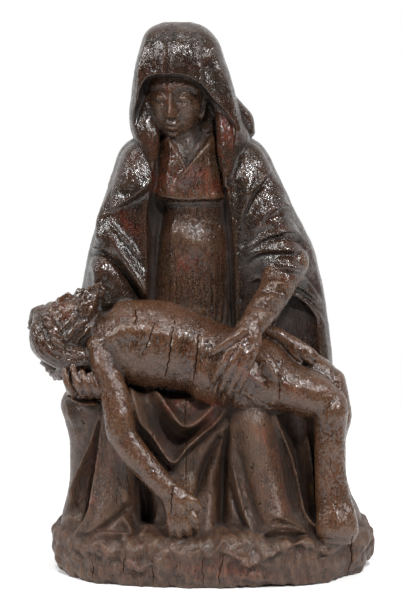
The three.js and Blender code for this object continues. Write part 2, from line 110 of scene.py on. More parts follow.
# %% Reading and moving a mesh's points
def points_of(mesh):
    values = np.empty(len(mesh.vertices) * 3, np.float32)
    mesh.vertices.foreach_get("co", values)
    return values.reshape(-1, 3).astype(float)


def normals_of(mesh):
    values = np.empty(len(mesh.vertices) * 3, np.float32)
    mesh.vertex_normals.foreach_get("vector", values)
    return values.reshape(-1, 3).astype(float)


def move_points(mesh, points):
    mesh.vertices.foreach_set("co", points.astype(np.float32).ravel())
    mesh.update()


# %% A ball of clay
def ball(columns, rings):
    """A closed ball, with each vertex's turn about its axis and its ring number from the bottom."""
    bm = bmesh.new()
    bmesh.ops.create_uvsphere(bm, u_segments=columns, v_segments=rings, radius=1)
    mesh = bpy.data.meshes.new("clay")
    bm.to_mesh(mesh)
    bm.free()
    x, y, z = points_of(mesh).T
    level = np.rint(np.arccos(np.clip(-z, -1, 1)) / math.pi * rings).astype(int)
    return mesh, np.arctan2(y, x), level


def shaped(mesh, points):
    """Moves a ball's points to their places and turns its faces outwards."""
    move_points(mesh, points)
    bm = bmesh.new()
    bm.from_mesh(mesh)
    bmesh.ops.recalc_face_normals(bm, faces=bm.faces)
    bm.to_mesh(mesh)
    bm.free()
    return mesh


# %% Limbs
CAP_ANGLES = np.radians([90, 72, 54, 36, 18])
GROOVE_WANDER = 1.5
GROOVE_WANDER_RATE = 0.11


def limb(stations, columns=24, spacing=2.5, facing=TOWARDS_VIEWER, flutes=0, depth=0.12, wave=0.16):
    """A rounded rod through stations (x, y, z, half width, half thickness towards facing), with
    grooves along it where flutes are asked for, which wander a little as combed hair does."""
    # a station without a thickness is round
    rows = flowing([tuple(s) + (s[3],) * (5 - len(s)) for s in stations], spacing)
    centres, wide, thick = rows[:, :3], rows[:, 3], rows[:, 4]
    along = np.gradient(centres, axis=0)
    along /= np.linalg.norm(along, axis=1)[:, None]
    reach = np.minimum(wide, thick)
    start = centres[0] - along[0] * (reach[0] * np.sin(CAP_ANGLES))[:, None]
    end = centres[-1] + along[-1] * (reach[-1] * np.sin(CAP_ANGLES[::-1]))[:, None]
    centres = np.vstack([start, centres, end])
    taper, widen = np.cos(CAP_ANGLES), np.cos(CAP_ANGLES[::-1])
    wide = np.concatenate([taper * wide[0], wide, widen * wide[-1]])
    thick = np.concatenate([taper * thick[0], thick, widen * thick[-1]])
    count = len(CAP_ANGLES)
    along = np.vstack([np.repeat(along[:1], count, 0), along, np.repeat(along[-1:], count, 0)])
    ahead = np.array(facing, float)
    thick_way = ahead - along * (along @ ahead)[:, None]
    thick_way /= np.linalg.norm(thick_way, axis=1)[:, None]
    wide_way = np.cross(thick_way, along)
    mesh, turn, level = ball(columns, len(centres) - 1)
    path = flutes * turn + wave * level + GROOVE_WANDER * np.sin(GROOVE_WANDER_RATE * level)
    groove = 1 + depth * np.cos(path) * (flutes > 0)
    points = centres[level]
    points = points + wide_way[level] * (wide[level] * groove * np.cos(turn))[:, None]
    points = points + thick_way[level] * (thick[level] * groove * np.sin(turn))[:, None]
    return shaped(mesh, points)


# %% Hanging cloth
RING_SAMPLES = 721


def outline(box, front_power, back_power, columns):
    """Points spread evenly round a squarish ring with the box (left, right, front, back)."""
    left, right, front, back = box
    turn = np.linspace(0, 2 * math.pi, RING_SAMPLES)
    power = np.where(np.sin(turn) > 0, back_power, front_power)
    bulge = lambda value: np.sign(value) * np.abs(value) ** (2 / power)
    x = (left + right) / 2 + bulge(np.cos(turn)) * (right - left) / 2
    y = (front + back) / 2 + bulge(np.sin(turn)) * (back - front) / 2
    length = np.concatenate([[0], np.cumsum(np.hypot(np.diff(x), np.diff(y)))])
    places = np.linspace(0, length[-1], columns, endpoint=False)
    return np.interp(places, length, x), np.interp(places, length, y)


def envelope(rows, columns=200, spacing=2.5, front_power=2.2, back_power=3.0):
    """A closed hanging form round rows (z, left, right, front, back), from the top down or up."""
    rows = flowing(rows, spacing, columns=1)
    rings = [outline(row[1:], front_power, back_power, columns) for row in rows]
    mesh, turn, level = ball(columns, len(rows) + 1)
    column = np.rint(turn / (2 * math.pi) * columns).astype(int) % columns
    row = np.clip(level - 1, 0, len(rows) - 1)
    x = np.array([ring[0] for ring in rings])
    y = np.array([ring[1] for ring in rings])
    points = np.stack([x[row, column], y[row, column], rows[row, 0]], axis=1)
    pole = (level == 0) | (level == len(rows) + 1)
    points[pole, 0] = x.mean(axis=1)[row[pole]]
    points[pole, 1] = y.mean(axis=1)[row[pole]]
    return shaped(mesh, points)


# %% [markdown]
# ## Strokes
# A fold, a hem, a lock of hair or a line of a face is one stroke: a curve with a width and a height at
# each of its points. A round stroke swells softly, a sharp one has a crest or a cut, and a lip
# is a cloth's edge, high on the stroke's left-hand side and falling off slowly behind it.

# %% The height of strokes
STROKE_REACH = 3.2


def stroke_heights(x, z, strokes, spacing=2.0):
    """The sum of strokes (kind, [(x, z, width, height), ...]) at the places (x, z). A stroke is looked
    for no further away than its reach in widths, past which nothing of it is left."""
    total = np.zeros(len(x))
    for kind, stations in strokes:
        line = flowing(stations, spacing, columns=2)
        reach = STROKE_REACH * line[:, 2].max()
        near = np.flatnonzero((x > line[:, 0].min() - reach) & (x < line[:, 0].max() + reach)
                              & (z > line[:, 1].min() - reach) & (z < line[:, 1].max() + reach))
        if len(near) == 0:
            continue
        best = np.full(len(near), np.inf)
        height = np.zeros(len(near))
        for a, b in zip(line[:-1], line[1:]):
            step = b[:2] - a[:2]
            square = max(float(step @ step), 1e-9)
            dx, dz = x[near] - a[0], z[near] - a[1]
            along = np.clip((dx * step[0] + dz * step[1]) / square, 0, 1)
            away = np.hypot(dx - along * step[0], dz - along * step[1])
            closer = away < best
            width = a[2] + along * (b[2] - a[2])
            tall = a[3] + along * (b[3] - a[3])
            side = np.sign(step[0] * dz - step[1] * dx)
            value = tall * profile(kind, away / width, side)
            height = np.where(closer, value, height)
            best = np.where(closer, away, best)
        total[near] += height
    return total


def profile(kind, away, side):
    """A stroke's height at a distance in widths: 1 on the stroke and 0 far from it."""
    if kind == "round":
        return np.exp(-away ** 2)
    if kind == "sharp":
        return np.exp(-away ** 1.25 * 1.2)
    gentle, steep = np.exp(-away * 0.9), np.exp(-(away * 4) ** 2)
    return np.where(side > 0, gentle, steep)


def press(mesh, strokes, rim=0.2, fade=0.53):
    """Raises the front of a form by strokes drawn where the eye sees them, less and less towards its
    outline, where it turns away from the eye."""
    points = points_of(mesh)
    normals = normals_of(mesh)
    x, z = seen(points)
    facing = np.clip((-normals[:, 1] - rim) / fade, 0, 1)
    move_points(mesh, points + normals * (facing * stroke_heights(x, z, strokes))[:, None])
    return mesh


# %% Joining, cutting and fusing
def as_object(mesh, name):
    made = bpy.data.objects.new(name, mesh)
    bpy.context.scene.collection.objects.link(made)
    return made


def joined(name, meshes):
    bm = bmesh.new()
    for mesh in meshes:
        bm.from_mesh(mesh)
    mesh = bpy.data.meshes.new(name)
    bm.to_mesh(mesh)
    bm.free()
    return mesh


def finished(mesh, kind, **settings):
    """A copy of the mesh with one modifier applied."""
    carrier = as_object(mesh, "carrier")
    modifier = carrier.modifiers.new(kind.lower(), kind)
    for key, value in settings.items():
        setattr(modifier, key, value)
    changed = carrier.evaluated_get(bpy.context.evaluated_depsgraph_get())
    applied = bpy.data.meshes.new_from_object(changed)
    bpy.data.objects.remove(carrier)
    return applied


def fused(mesh, voxel):
    return finished(mesh, "REMESH", mode="VOXEL", voxel_size=voxel)


def cut(mesh, tool, operation="DIFFERENCE"):
    """The mesh with the tool's form taken off, or joined on with UNION."""
    knife = as_object(tool, "knife")
    result = finished(mesh, "BOOLEAN", operation=operation, solver="MANIFOLD", object=knife)
    bpy.data.objects.remove(knife)
    return result


# %% [markdown]
# ## The plinth
# The plinth is a low oval mound, left rough like broken rock. Its rim follows shares of its height and
# of its width and depth, and uneven lumps keep it from looking turned.

# %% Rocky plinth
PLINTH_HALF_WIDTH = 184.0
PLINTH_HALF_DEPTH = 118.0
PLINTH_RIM = [(0, 0.93), (0.27, 0.98), (0.8, 1), (1.1, 0.985), (1.25, 0.94), (1.36, 0.85), (1.43, 0.68)]
ROCKS = [
    ("round", [(-183, -6, 7, 7), (-179, -23, 8, 5)]),
    ("round", [(-170, -39, 12, 4), (-142, -56, 14, 4), (-107, -58, 12, 3)]),
    ("sharp", [(-186, -13, 3, -5), (-172, -23, 4, -6), (-156, -30, 4, -5), (-142, -37, 4, -3)]),
    ("sharp", [(-151, -39, 2.5, -6), (-144, -49, 3, -5)]),
    ("sharp", [(-140, -30, 2.5, -5), (-130, -37, 2.5, -4)]),
    ("round", [(-153, -21, 8, 6), (-133, -23, 9, 6), (-116, -28, 7, 4)]),
    ("sharp", [(-112, -13, 2, -3), (-108, -17, 2, -3)]),
    ("sharp", [(-107, -25, 3, 6), (-96, -37, 3.5, 7), (-84, -45, 3.5, 6), (-70, -41, 3, 5),
               (-61, -35, 3, 3)]),
    ("sharp", [(-130, -44, 4, -2), (-107, -39, 4, -4), (-89, -54, 4, -4), (-66, -49, 4, -2)]),
    ("sharp", [(-26, -32, 2.5, 4), (-15, -26, 2.5, 4)]),
    ("round", [(-38, -44, 18, 3)]),
    ("sharp", [(-24, -25, 3, -3), (-5, -21, 3, -5)]),
    ("sharp", [(-2, -32, 3, 4), (6, -23, 3, 7), (14, -13, 3, 8)]),
    ("sharp", [(4, -37, 3, -4), (12, -30, 3, -6)]),
    ("lip", [(13, -28, 5, 6), (27, -32, 5, 8), (42, -43, 5, 9)]),
    ("lip", [(42, -43, 5, 8), (57, -36, 6, 8), (82, -24, 7, 8), (104, -19, 7, 7), (126, -28, 6, 4)]),
    ("round", [(136, -37, 14, 4), (101, -44, 18, 3)]),
    ("sharp", [(126, -32, 3, -3), (147, -28, 3, -4), (161, -21, 3, -4)]),
    ("round", [(175, -16, 9, 7), (181, -6, 6, 6)]),
    ("sharp", [(158, -11, 2.5, -4), (162, -25, 3, -6), (159, -44, 3, -5), (155, -54, 3, -3)]),
    ("sharp", [(182, -21, 3, -3), (172, -32, 3, -4)]),
]
# lumps (height, size, seed)
ROCK_LUMPS = [(2.1, 15, 1), (1.2, 6, 2)]
ONE_TURN = 6.3


def uneven(points, size, seed, waves=7):
    """Soft random lumps about size across, between -1 and 1, the same on every run."""
    random = np.random.default_rng(seed)
    total = np.zeros(len(points))
    warp = np.sin(points / (size * 1.7) + random.uniform(0, ONE_TURN, 3)) * size * 0.35
    for _ in range(waves):
        way = random.normal(size=3)
        way *= random.uniform(0.7, 1.5) / np.linalg.norm(way)
        total += np.sin((points + warp) @ way * (math.pi / size) + random.uniform(0, ONE_TURN))
    return total / math.sqrt(waves)


def rumpled(mesh, height, size, seed):
    """Pushes a form's points in and out by uneven lumps of about the given size."""
    points = points_of(mesh)
    move_points(mesh, points + normals_of(mesh) * (height * uneven(points, size, seed))[:, None])
    return mesh


def plinth():
    rows = [((up - 1) * PLINTH_HEIGHT, -share * PLINTH_HALF_WIDTH, share * PLINTH_HALF_WIDTH,
             -share * PLINTH_HALF_DEPTH, share * PLINTH_HALF_DEPTH) for up, share in PLINTH_RIM]
    mesh = envelope(rows, columns=440, spacing=1.6, front_power=2.3, back_power=2.5)
    mesh = press(mesh, ROCKS)
    for height, size, seed in ROCK_LUMPS:
        mesh = rumpled(mesh, height, size, seed)
    points = points_of(mesh)
    points[:, 2] = np.maximum(points[:, 2], -PLINTH_HEIGHT)
    move_points(mesh, points)
    return mesh


print("plinth:", 2 * PLINTH_HALF_WIDTH, "by", 2 * PLINTH_HALF_DEPTH, "mm,", len(ROCKS), "strokes")


# %% [markdown]
# ## The skirt
# Her skirt covers the block she sits on and both legs. Between the knees the cloth sags into two
# deep bowls, below them a flat panel drops to the rock, and long folds run down each shin.

# %% Skirt
SKIRT_ROWS = [
    (-20, -174, 174, -88, 94), (-11, -180, 180, -84, 96),
    (3, -176, 176, -75, 97), (22, -172, 169, -68, 97), (41, -167, 160, -63, 96),
    (60, -164, 155, -60, 95), (79, -164, 151, -58, 95), (97, -164, 148, -58, 95),
    (112, -166, 147, -58, 95), (127, -170, 146, -57, 95), (142, -174, 144, -56, 95),
    (152, -172, 141, -50, 95), (160, -161, 138, -38, 93),
]
SKIRT_STROKES = [
    # the legs under the cloth
    ("round", [(33, 146, 20, 14), (43, 127, 25, 38), (50, 86, 24, 34), (59, 39, 27, 34), (75, -8, 32, 36)]),
    ("round", [(-77, 155, 22, 16), (-97, 136, 24, 28), (-108, 92, 20, 26), (-114, 39, 22, 28),
               (-121, -8, 28, 30)]),
    # the bowls of cloth between the knees
    ("sharp", [(-80, 154, 5, 16), (-62, 143, 5, 23), (-47, 133, 5, 28), (-32, 124, 5, 30), (-19, 126, 5, 28),
               (0, 136, 5, 20), (20, 146, 6, 12)]),
    ("round", [(-55, 157, 12, 6), (-28, 148, 14, 14), (-1, 155, 10, 6)]),
    ("sharp", [(-95, 150, 5, 10), (-80, 129, 5, 15), (-64, 105, 5.5, 20), (-45, 82, 5, 25),
               (-29, 97, 4.5, 20), (-9, 114, 5, 15), (22, 141, 6, 10)]),
    ("round", [(-65, 127, 6, -4), (-47, 107, 7, -8), (-32, 106, 7, -8), (-10, 125, 6, -5)]),
    ("sharp", [(-38, 79, 2.5, -6), (-24, 93, 2.5, -9), (-3, 112, 2.5, -9), (17, 134, 2.5, -5)]),
    ("sharp", [(-84, 118, 3, -5), (-68, 94, 3.5, -10), (-49, 71, 3.5, -9)]),
    # the panel below them
    ("round", [(-24, 48, 18, 8), (-19, 19, 22, 14), (-17, -23, 26, 24)]),
    ("sharp", [(8, 106, 3.5, -9), (-6, 78, 4, -16), (-20, 36, 3.5, -11)]),
    ("round", [(-1, 69, 7, 7), (-2, 22, 8, 8), (-5, -23, 9, 8)]),
    # deep hollows
    ("sharp", [(20, 127, 4, -10), (15, 92, 4.5, -22), (12, 45, 5, -27), (10, -19, 5, -24)]),
    ("round", [(-84, 59, 5, -10), (-79, 34, 7.5, -24), (-78, 10, 8, -28), (-78, -19, 8, -26)]),
    ("round", [(89, 122, 8, -8), (101, 78, 8, -11), (110, 16, 8, -11)]),
    ("sharp", [(108, 108, 2.5, 6), (112, 75, 3, 11), (115, 29, 3.5, 11)]),
    ("sharp", [(97, 104, 2.5, -8), (103, 69, 2.5, -12), (107, 24, 3, -14), (113, 5, 3, -8)]),
    ("sharp", [(-125, 127, 2.5, -5), (-128, 97, 3, -10), (-136, 57, 5, -19), (-143, 17, 6, -24),
               (-149, 3, 5, -14)]),
    ("sharp", [(-94, 27, 2, -5), (-105, 14, 2.5, -9), (-119, -2, 3, -10), (-132, -12, 3, -8),
               (-149, -26, 3, -5)]),
    # folds on her left shin
    ("sharp", [(22, 122, 3.5, 6), (22, 85, 3.5, 8), (28, 51, 4, 11), (38, 10, 4.5, 11), (48, -10, 5, 8)]),
    ("sharp", [(32, 90, 2.5, -5), (39, 57, 3, -10), (46, 29, 3.5, -12), (54, 3, 3.5, -9)]),
    ("sharp", [(20, 52, 2, -4), (26, 30, 3, -9), (36, 3, 3, -8)]),
    ("sharp", [(68, 136, 4.5, 8), (81, 105, 4, 14), (90, 80, 4, 17), (96, 49, 4, 18), (103, 16, 5, 20),
               (121, -9, 5, 16)]),
    ("round", [(56, 127, 8, 4), (66, 80, 8, 6), (75, 16, 9, 8)]),
    ("sharp", [(77, 104, 2.5, -3), (85, 51, 3, -6), (91, 19, 3.5, -6)]),
    # folds on her right shin
    ("sharp", [(-120, 136, 4, 6), (-124, 104, 3.5, 10), (-128, 49, 4, 13), (-132, 19, 4.5, 13),
               (-144, -4, 5, 12), (-158, -25, 6, 9)]),
    ("sharp", [(-127, 136, 2.4, 6), (-133, 108, 2.6, 13), (-141, 83, 2.8, 17), (-151, 50, 3, 18),
               (-155, 27, 3, 17), (-167, 17, 3.5, 11), (-176, 5, 4, 7)]),
    ("round", [(-94, 104, 6, 5), (-93, 57, 6, 9), (-94, 34, 6, 9)]),
    # hems over the rock
    ("lip", [(122, -24, 4, 8), (110, -16, 5, 12), (97, -8, 5, 15), (82, -4, 5, 16), (68, -6, 5, 16),
             (57, -15, 5, 15), (31, -22, 5, 12)]),
    ("sharp", [(68, 10, 3, 4), (87, 4, 3, 6), (101, -5, 3, 6), (112, -15, 3, 4)]),
    ("sharp", [(15, 3, 3, 6), (11, -19, 3.5, 8), (25, -28, 4, 8)]),
    ("round", [(-98, 10, 5, 7), (-91, -2, 5, 14), (-91, -11, 5, 16), (-102, -15, 6, 14), (-121, -19, 6, 10)]),
    ("round", [(-160, 12, 5, 8), (-169, 5, 6, 9), (-176, -4, 7, 7)]),
    # the seat's side and its rounded top
    ("round", [(-168, 157, 8, 5), (-166, 136, 9, 6)]),
    ("sharp", [(-171, 153, 2.5, 3), (-161, 139, 2.5, 4), (-159, 122, 2.5, 3)]),
    ("sharp", [(-169, 115, 4, -3), (-152, 118, 4, -3)]),
]


def back_folds(mesh, height=4.0, spacing=56.0, end=430.0, fade=200.0):
    """Shallow upright folds over the plain back, which fade out over the shoulders. A second, weaker
    wave keeps them from being all alike."""
    points = points_of(mesh)
    normals = normals_of(mesh)
    behind = np.clip(normals[:, 1], 0, 1) * np.clip((end - points[:, 2]) / fade, 0, 1)
    turns = 2 * math.pi * points[:, 0] / spacing
    waves = np.sin(turns) + 0.35 * np.sin(turns * 2.3 + 1)
    move_points(mesh, points + normals * (height * behind * waves)[:, None])
    return mesh


def skirt():
    mesh = envelope(SKIRT_ROWS, columns=460, spacing=1.6, front_power=3.2)
    return back_folds(press(mesh, SKIRT_STROKES))


print("skirt:", len(SKIRT_ROWS), "rings,", len(SKIRT_STROKES), "strokes")


# %% [markdown]
# ## The cloak
# A heavy mantle lies over her arms and back, and a hood of the same cloth stands round her face. Both
# are roughed out whole, and the gap down the front is cut away with one long plug of clay, because a
# carver opens a hood in the same way, from the outside in.

# %% Mantle
MANTLE_ROWS = [
    (165, -170, 140, -36, 95), (202, -158, 138, -33, 95), (242, -153, 133, -32, 94),
    (275, -150, 128, -32, 92), (304, -145, 121, -32, 89), (326, -140, 115, -31, 87),
    (348, -134, 104, -29, 85), (369, -128, 93, -28, 82), (389, -121, 84, -26, 79),
    (411, -114, 73, -23, 76), (432, -107, 63, -15, 72), (445, -96, 51, -8, 68),
    (453, -79, 32, -2, 62),
]
MANTLE_STROKES = [
    # the arms under the cloth
    ("round", [(51, 427, 20, 8), (65, 380, 22, 20), (76, 329, 22, 28), (81, 305, 18, 28)]),
    ("round", [(-94, 427, 18, 8), (-110, 374, 20, 16), (-117, 323, 19, 20), (-115, 266, 20, 16)]),
    # the hood's ends over the shoulders
    ("round", [(-84, 439, 12, 9), (-86, 420, 15, 12), (-85, 400, 14, 11)]),
    ("lip", [(-112, 362, 7, 4), (-101, 372, 7, 7), (-87, 382, 7, 9), (-76, 391, 7, 9), (-68, 401, 6, 7)]),
    ("round", [(42, 446, 12, 6), (49, 425, 12, 6)]),
    ("sharp", [(-104, 430, 3, -1), (-109, 403, 3, -3), (-110, 366, 3, -4)]),
    # the hanging edge of the sleeve and the cloak's edge by the dress
    ("round", [(131, 240, 5, 5), (135, 214, 5, 6), (136, 190, 5, 5)]),
    ("sharp", [(25, 384, 2, 3), (27, 334, 2, 3), (30, 266, 2, 3)]),
    # folds over her right arm
    ("round", [(-117, 386, 6, 3), (-121, 357, 7, 9), (-120, 337, 6, 8)]),
    ("sharp", [(-134, 345, 2, -3), (-128, 334, 2.5, -6), (-122, 326, 2.5, -6), (-115, 321, 2.5, -5)]),
    ("sharp", [(-139, 323, 2.5, 4), (-128, 325, 2.5, 8), (-119, 323, 2.5, 6)]),
    ("sharp", [(-141, 315, 2.5, -5), (-131, 317, 2.5, -9), (-118, 318, 3, -11), (-108, 308, 3.5, -12),
               (-98, 294, 3.5, -12), (-85, 273, 4, -12), (-79, 262, 4, -8)]),
    ("round", [(-110, 348, 5, 3), (-102, 325, 6, 8), (-90, 302, 7, 11), (-76, 275, 7, 9)]),
    ("sharp", [(-109, 359, 2, 3), (-104, 346, 2, 5), (-93, 330, 2, 6), (-83, 316, 2, 5)]),
    ("round", [(-133, 305, 6, 6), (-123, 300, 6, 9), (-126, 277, 7, 5)]),
    ("round", [(-138, 286, 6, 4), (-138, 266, 6, 4)]),
]
# folds over her left arm
SLEEVE_STROKES = [
    ("round", [(35, 430, 5, 4), (34, 405, 6, 7), (37, 387, 5, 5)]),
    ("lip", [(33, 341, 5, 2), (34, 363, 5, 5), (39, 376, 5.5, 8), (44, 389, 5.5, 9), (52, 401, 5, 8),
             (59, 410, 4, 5), (65, 416, 3, 2)]),
    ("sharp", [(62, 410, 2, -2), (56, 400, 2.5, -4), (46, 388, 3, -5), (40, 374, 3, -5), (35, 357, 3, -4),
               (33, 329, 3, -3)]),
    ("sharp", [(68, 413, 2.5, 3), (71, 403, 2.5, 7), (73, 392, 3, 7), (75, 382, 4, 3)]),
    ("round", [(60, 393, 5, -3), (61, 380, 5, -2)]),
    ("lip", [(49, 348, 4, 2), (56, 361, 5, 5), (64, 368, 5, 9), (75, 370, 5, 10), (86, 365, 4.5, 9),
             (98, 358, 4, 7), (107, 342, 4, 7), (115, 321, 4, 7), (122, 293, 3.5, 6), (128, 259, 3, 5)]),
    ("round", [(62, 358, 4, -3), (76, 359, 4.5, -7), (90, 355, 4.5, -8), (100, 342, 4, -8), (108, 323, 4, -8),
               (116, 302, 3.5, -7), (124, 270, 3, -4)]),
    ("sharp", [(74, 354, 3, -5), (62, 348, 3, -7), (52, 341, 3, -6), (43, 331, 3, -3)]),
    ("lip", [(44, 325, 4, 3), (55, 334, 4.5, 6), (64, 338, 4.5, 8), (76, 341, 4.5, 9), (88, 338, 4.5, 9),
             (95, 333, 4, 9), (102, 322, 4, 9), (110, 306, 3.5, 8), (120, 291, 3, 7), (125, 271, 3, 4)]),
    ("sharp", [(42, 322, 2.5, -3), (53, 330, 3, -6), (64, 334, 3, -8), (77, 333, 3, -8), (89, 331, 2.5, -6),
               (96, 331, 2, -3)]),
    ("lip", [(48, 316, 3.5, 3), (58, 321, 3.5, 6), (71, 322, 3.5, 8), (85, 321, 3.5, 8), (94, 321, 3, 6),
             (102, 311, 3, 5), (113, 294, 3, 4)]),
    ("sharp", [(42, 307, 2.5, -3), (48, 314, 2.5, -5), (56, 317, 2.5, -6), (75, 317, 2.5, -8),
               (87, 314, 2.5, -8), (98, 305, 2.5, -8), (108, 293, 2.5, -7), (119, 278, 2.5, -6),
               (129, 259, 2, -4)]),
    ("round", [(56, 302, 6, 5), (72, 305, 7, 9), (85, 302, 6, 10), (97, 293, 5, 9), (109, 279, 4, 7),
               (123, 265, 3.5, 5)]),
    ("sharp", [(87, 310, 1.8, 2), (92, 302, 2, 4), (92, 292, 2, 3)]),
    ("sharp", [(103, 292, 1.8, 3), (113, 279, 1.8, 4), (123, 266, 1.8, 3)]),
    ("lip", [(44, 287, 3, 3), (51, 290, 3.5, 6), (65, 291, 3.5, 8), (79, 290, 3.5, 8), (92, 283, 3.5, 8),
             (107, 274, 3.5, 7), (120, 262, 3.5, 6), (130, 245, 3, 4)]),
    ("sharp", [(70, 284, 2, 4), (83, 279, 2, 5), (95, 271, 2, 5), (106, 263, 2, 5), (118, 252, 2, 5),
               (128, 238, 2, 4)]),
]
SLEEVE_CRESTS = 0.75


def mantle():
    """Her mantle, whose sleeve folds are kept low so that they don't stand out like teeth from the side."""
    mesh = envelope(MANTLE_ROWS, columns=460, spacing=1.5, front_power=3)
    low = [(kind, [(x, z, width, height * SLEEVE_CRESTS) for x, z, width, height in stations])
           for kind, stations in SLEEVE_STROKES]
    return back_folds(press(mesh, MANTLE_STROKES + low, rim=0.4))


print("mantle:", len(MANTLE_ROWS), "rings,", len(MANTLE_STROKES + SLEEVE_STROKES), "strokes")


# %% Hood
HOOD_ROWS = [
    (410, -81, 34, -20, 70), (436, -85, 42, -30, 69), (453, -91, 42, -38, 67),
    (466, -94, 36, -43, 66), (481, -94, 31, -47, 64), (495, -92, 27, -48, 63),
    (521, -89, 20, -49, 58), (540, -85, 13, -48, 52), (556, -80, 8, -44, 44),
    (567, -76, 0, -36, 36), (575, -68, -9, -22, 28), (580, -55, -23, -8, 20),
]
HOOD_STROKES = [
    ("sharp", [(-74, 558, 3, 3), (-79, 538, 3, 7), (-80, 511, 3, 7), (-86, 484, 2.5, 3)]),
    ("round", [(-64, 551, 8, -2), (-64, 529, 8, -2.5)]),
    ("sharp", [(-47, 564, 1.8, 1), (-47, 551, 1.8, 5), (-46, 524, 1.8, 4)]),
    ("sharp", [(-49, 556, 1.2, -3), (-49, 526, 1.2, -3)]),
    ("round", [(-30, 551, 9, -2), (-29, 526, 9, -2)]),
    ("sharp", [(-16, 564, 2, 2), (-15, 547, 2, 6), (-14, 511, 2, 5)]),
    ("round", [(-2, 531, 7, -3.5), (7, 504, 8, -4), (19, 477, 6, -3)]),
    ("sharp", [(15, 524, 3, 0.5), (21, 498, 3, 4), (29, 459, 3, 5)]),
    ("round", [(-69, 561, 5, -3), (-57, 567, 6, -4), (-45, 569, 5, -3)]),
    ("lip", [(-73, 557, 4, 1.2), (-60, 560, 5, 2), (-46, 568, 4, 1.8), (-37, 575, 4, 1)]),
    ("round", [(-17, 569, 9, -1.5), (-5, 558, 7, -1.5)]),
]
# the plug that opens the hood and the cloak, and the hollow under her left sleeve: (z, left, right,
# back), both from well in front of the cloth
PLUG_FRONT = -130
OPENING = [
    (208, -73, 29, 10), (266, -74, 27, 10), (323, -75, 25, 10), (363, -76, 22, 10), (382, -73, 19, 10),
    (398, -70, 18, 10), (409, -69, 20, 10), (423, -74, 25, 10), (440, -83, 28, 8), (455, -89, 28, 4),
    (466, -92, 28, 2), (474, -91, 21, 4), (482, -89, 15, 6), (495, -84, 1, 6), (509, -80, -10, 2),
    (519, -73, -24, -6), (523, -60, -37, -20),
]
SLEEVE_HOLLOW = [
    (273, 87, 92, -6), (265, 82, 104, -6), (257, 78, 113, -6), (249, 74, 121, -6), (240, 70, 128, -6),
    (218, 67, 129, -6), (180, 67, 130, -6),
]
VEIL_FOLD = [(23, 16, 495, 4, 12), (31, 18, 483, 6, 13), (38, 22, 472, 8, 14), (42, 26, 457, 7, 13)]
VEILS = [
    [(0, -8, 495, 6, 8), (10, -11, 481, 9, 10), (16, -14, 466, 12, 11), (17, -16, 451, 12.5, 11),
     (16, -18, 435, 11, 11), (16, -19, 421, 8, 10), (15, -20, 407, 4, 8), (15, -20, 397, 2, 5)],
    [(-70, -6, 502, 4, 6), (-72, -9, 484, 9, 9), (-75, -10, 467, 14.5, 12), (-73, -13, 453, 13.5, 12),
     (-70, -15, 437, 9.5, 11), (-69, -17, 423, 5.5, 9), (-69, -18, 409, 2.5, 6)],
    [(-7, 0, 515, 5, 9), (-2, 2, 500, 7, 10), (-1, 2, 482, 8, 10), (-6, 4, 461, 9, 10)],
]


def plug(rows, **settings):
    """A form to cut away, which reaches from in front of the cloth to each row's back."""
    return envelope([(z, left, right, PLUG_FRONT, back) for z, left, right, back in rows], spacing=2,
                    **settings)


def cloak():
    hood = envelope(HOOD_ROWS, columns=300, spacing=1.5, front_power=2.8, back_power=2.2)
    whole = cut(cut(mantle(), press(hood, HOOD_STROKES), "UNION"), limb(VEIL_FOLD), "UNION")
    opened = cut(whole, plug(OPENING, columns=160, front_power=4, back_power=3.4))
    return cut(opened, plug(SLEEVE_HOLLOW, columns=120, front_power=5, back_power=5))


print("hood:", len(HOOD_ROWS), "rings,", len(HOOD_STROKES), "strokes,", len(VEILS) + 1, "folds of the veil")


# %% Dress
BODICE_ROWS = [
    (215, -76, 33, -25, 60), (267, -74, 28, -21, 60), (324, -65, 25, -18, 60),
    (364, -58, 20, -14, 60), (378, -60, 19, -15, 60), (384, -69, 19, -23, 60),
    (396, -69, 18, -24, 60), (420, -65, 16, -22, 60), (437, -62, 10, -16, 52),
    (449, -60, 6, -11, 48), (458, -55, -1, -4, 44),
]
BODICE_STROKES = [
    # the yoke's hem and the belly under it
    ("lip", [(-70, 395, 5, 2), (-62, 387, 5, 3), (-49, 384, 5, 3), (-29, 381, 5, 3), (-7, 382, 5, 3),
             (19, 384, 5, 2)]),
    ("sharp", [(-60, 378, 1.8, 1.5), (-29, 375, 1.8, 2), (19, 378, 1.8, 1.5)]),
    ("round", [(-40, 343, 14, 3), (-22, 330, 16, 5)]),
    ("round", [(-19, 363, 14, -2)]),
    # the neckline, with its right half laid over the left
    ("round", [(-24, 459, 10, -9), (-27, 439, 8, -7), (-31, 425, 4, -3)]),
    ("lip", [(-31, 415, 5, 4), (-37, 429, 7, 6), (-46, 444, 7, 6), (-58, 460, 7, 5)]),
    ("lip", [(6, 462, 8, 6), (-11, 436, 9, 10), (-25, 418, 8, 11), (-37, 405, 5, 9)]),
    ("sharp", [(-37, 442, 2, 2), (-29, 429, 2, 4), (-16, 446, 2, 2)]),
]
PLEATS = [("sharp", [(x, 300, 1.6, -0.5), (x + 1, 265, 2, -2.5), (x - 0.5, 238, 2.2, -3.5)])
          for x in range(-36, 40, 7)]
CAP_EDGE = [(-11, -10, 511, 1.6), (-9, -13, 499, 1.8), (-9, -13, 484, 1.8), (-12, -10, 473, 1.6)]
NECK = [(-38, 8, 470, 19, 19), (-31, 6, 434, 22, 20)]


def dress():
    bodice = envelope(BODICE_ROWS, columns=280, spacing=1.5, front_power=2.6)
    return [press(bodice, BODICE_STROKES + PLEATS)]


print("dress:", len(BODICE_STROKES), "strokes and", len(PLEATS), "pleats")


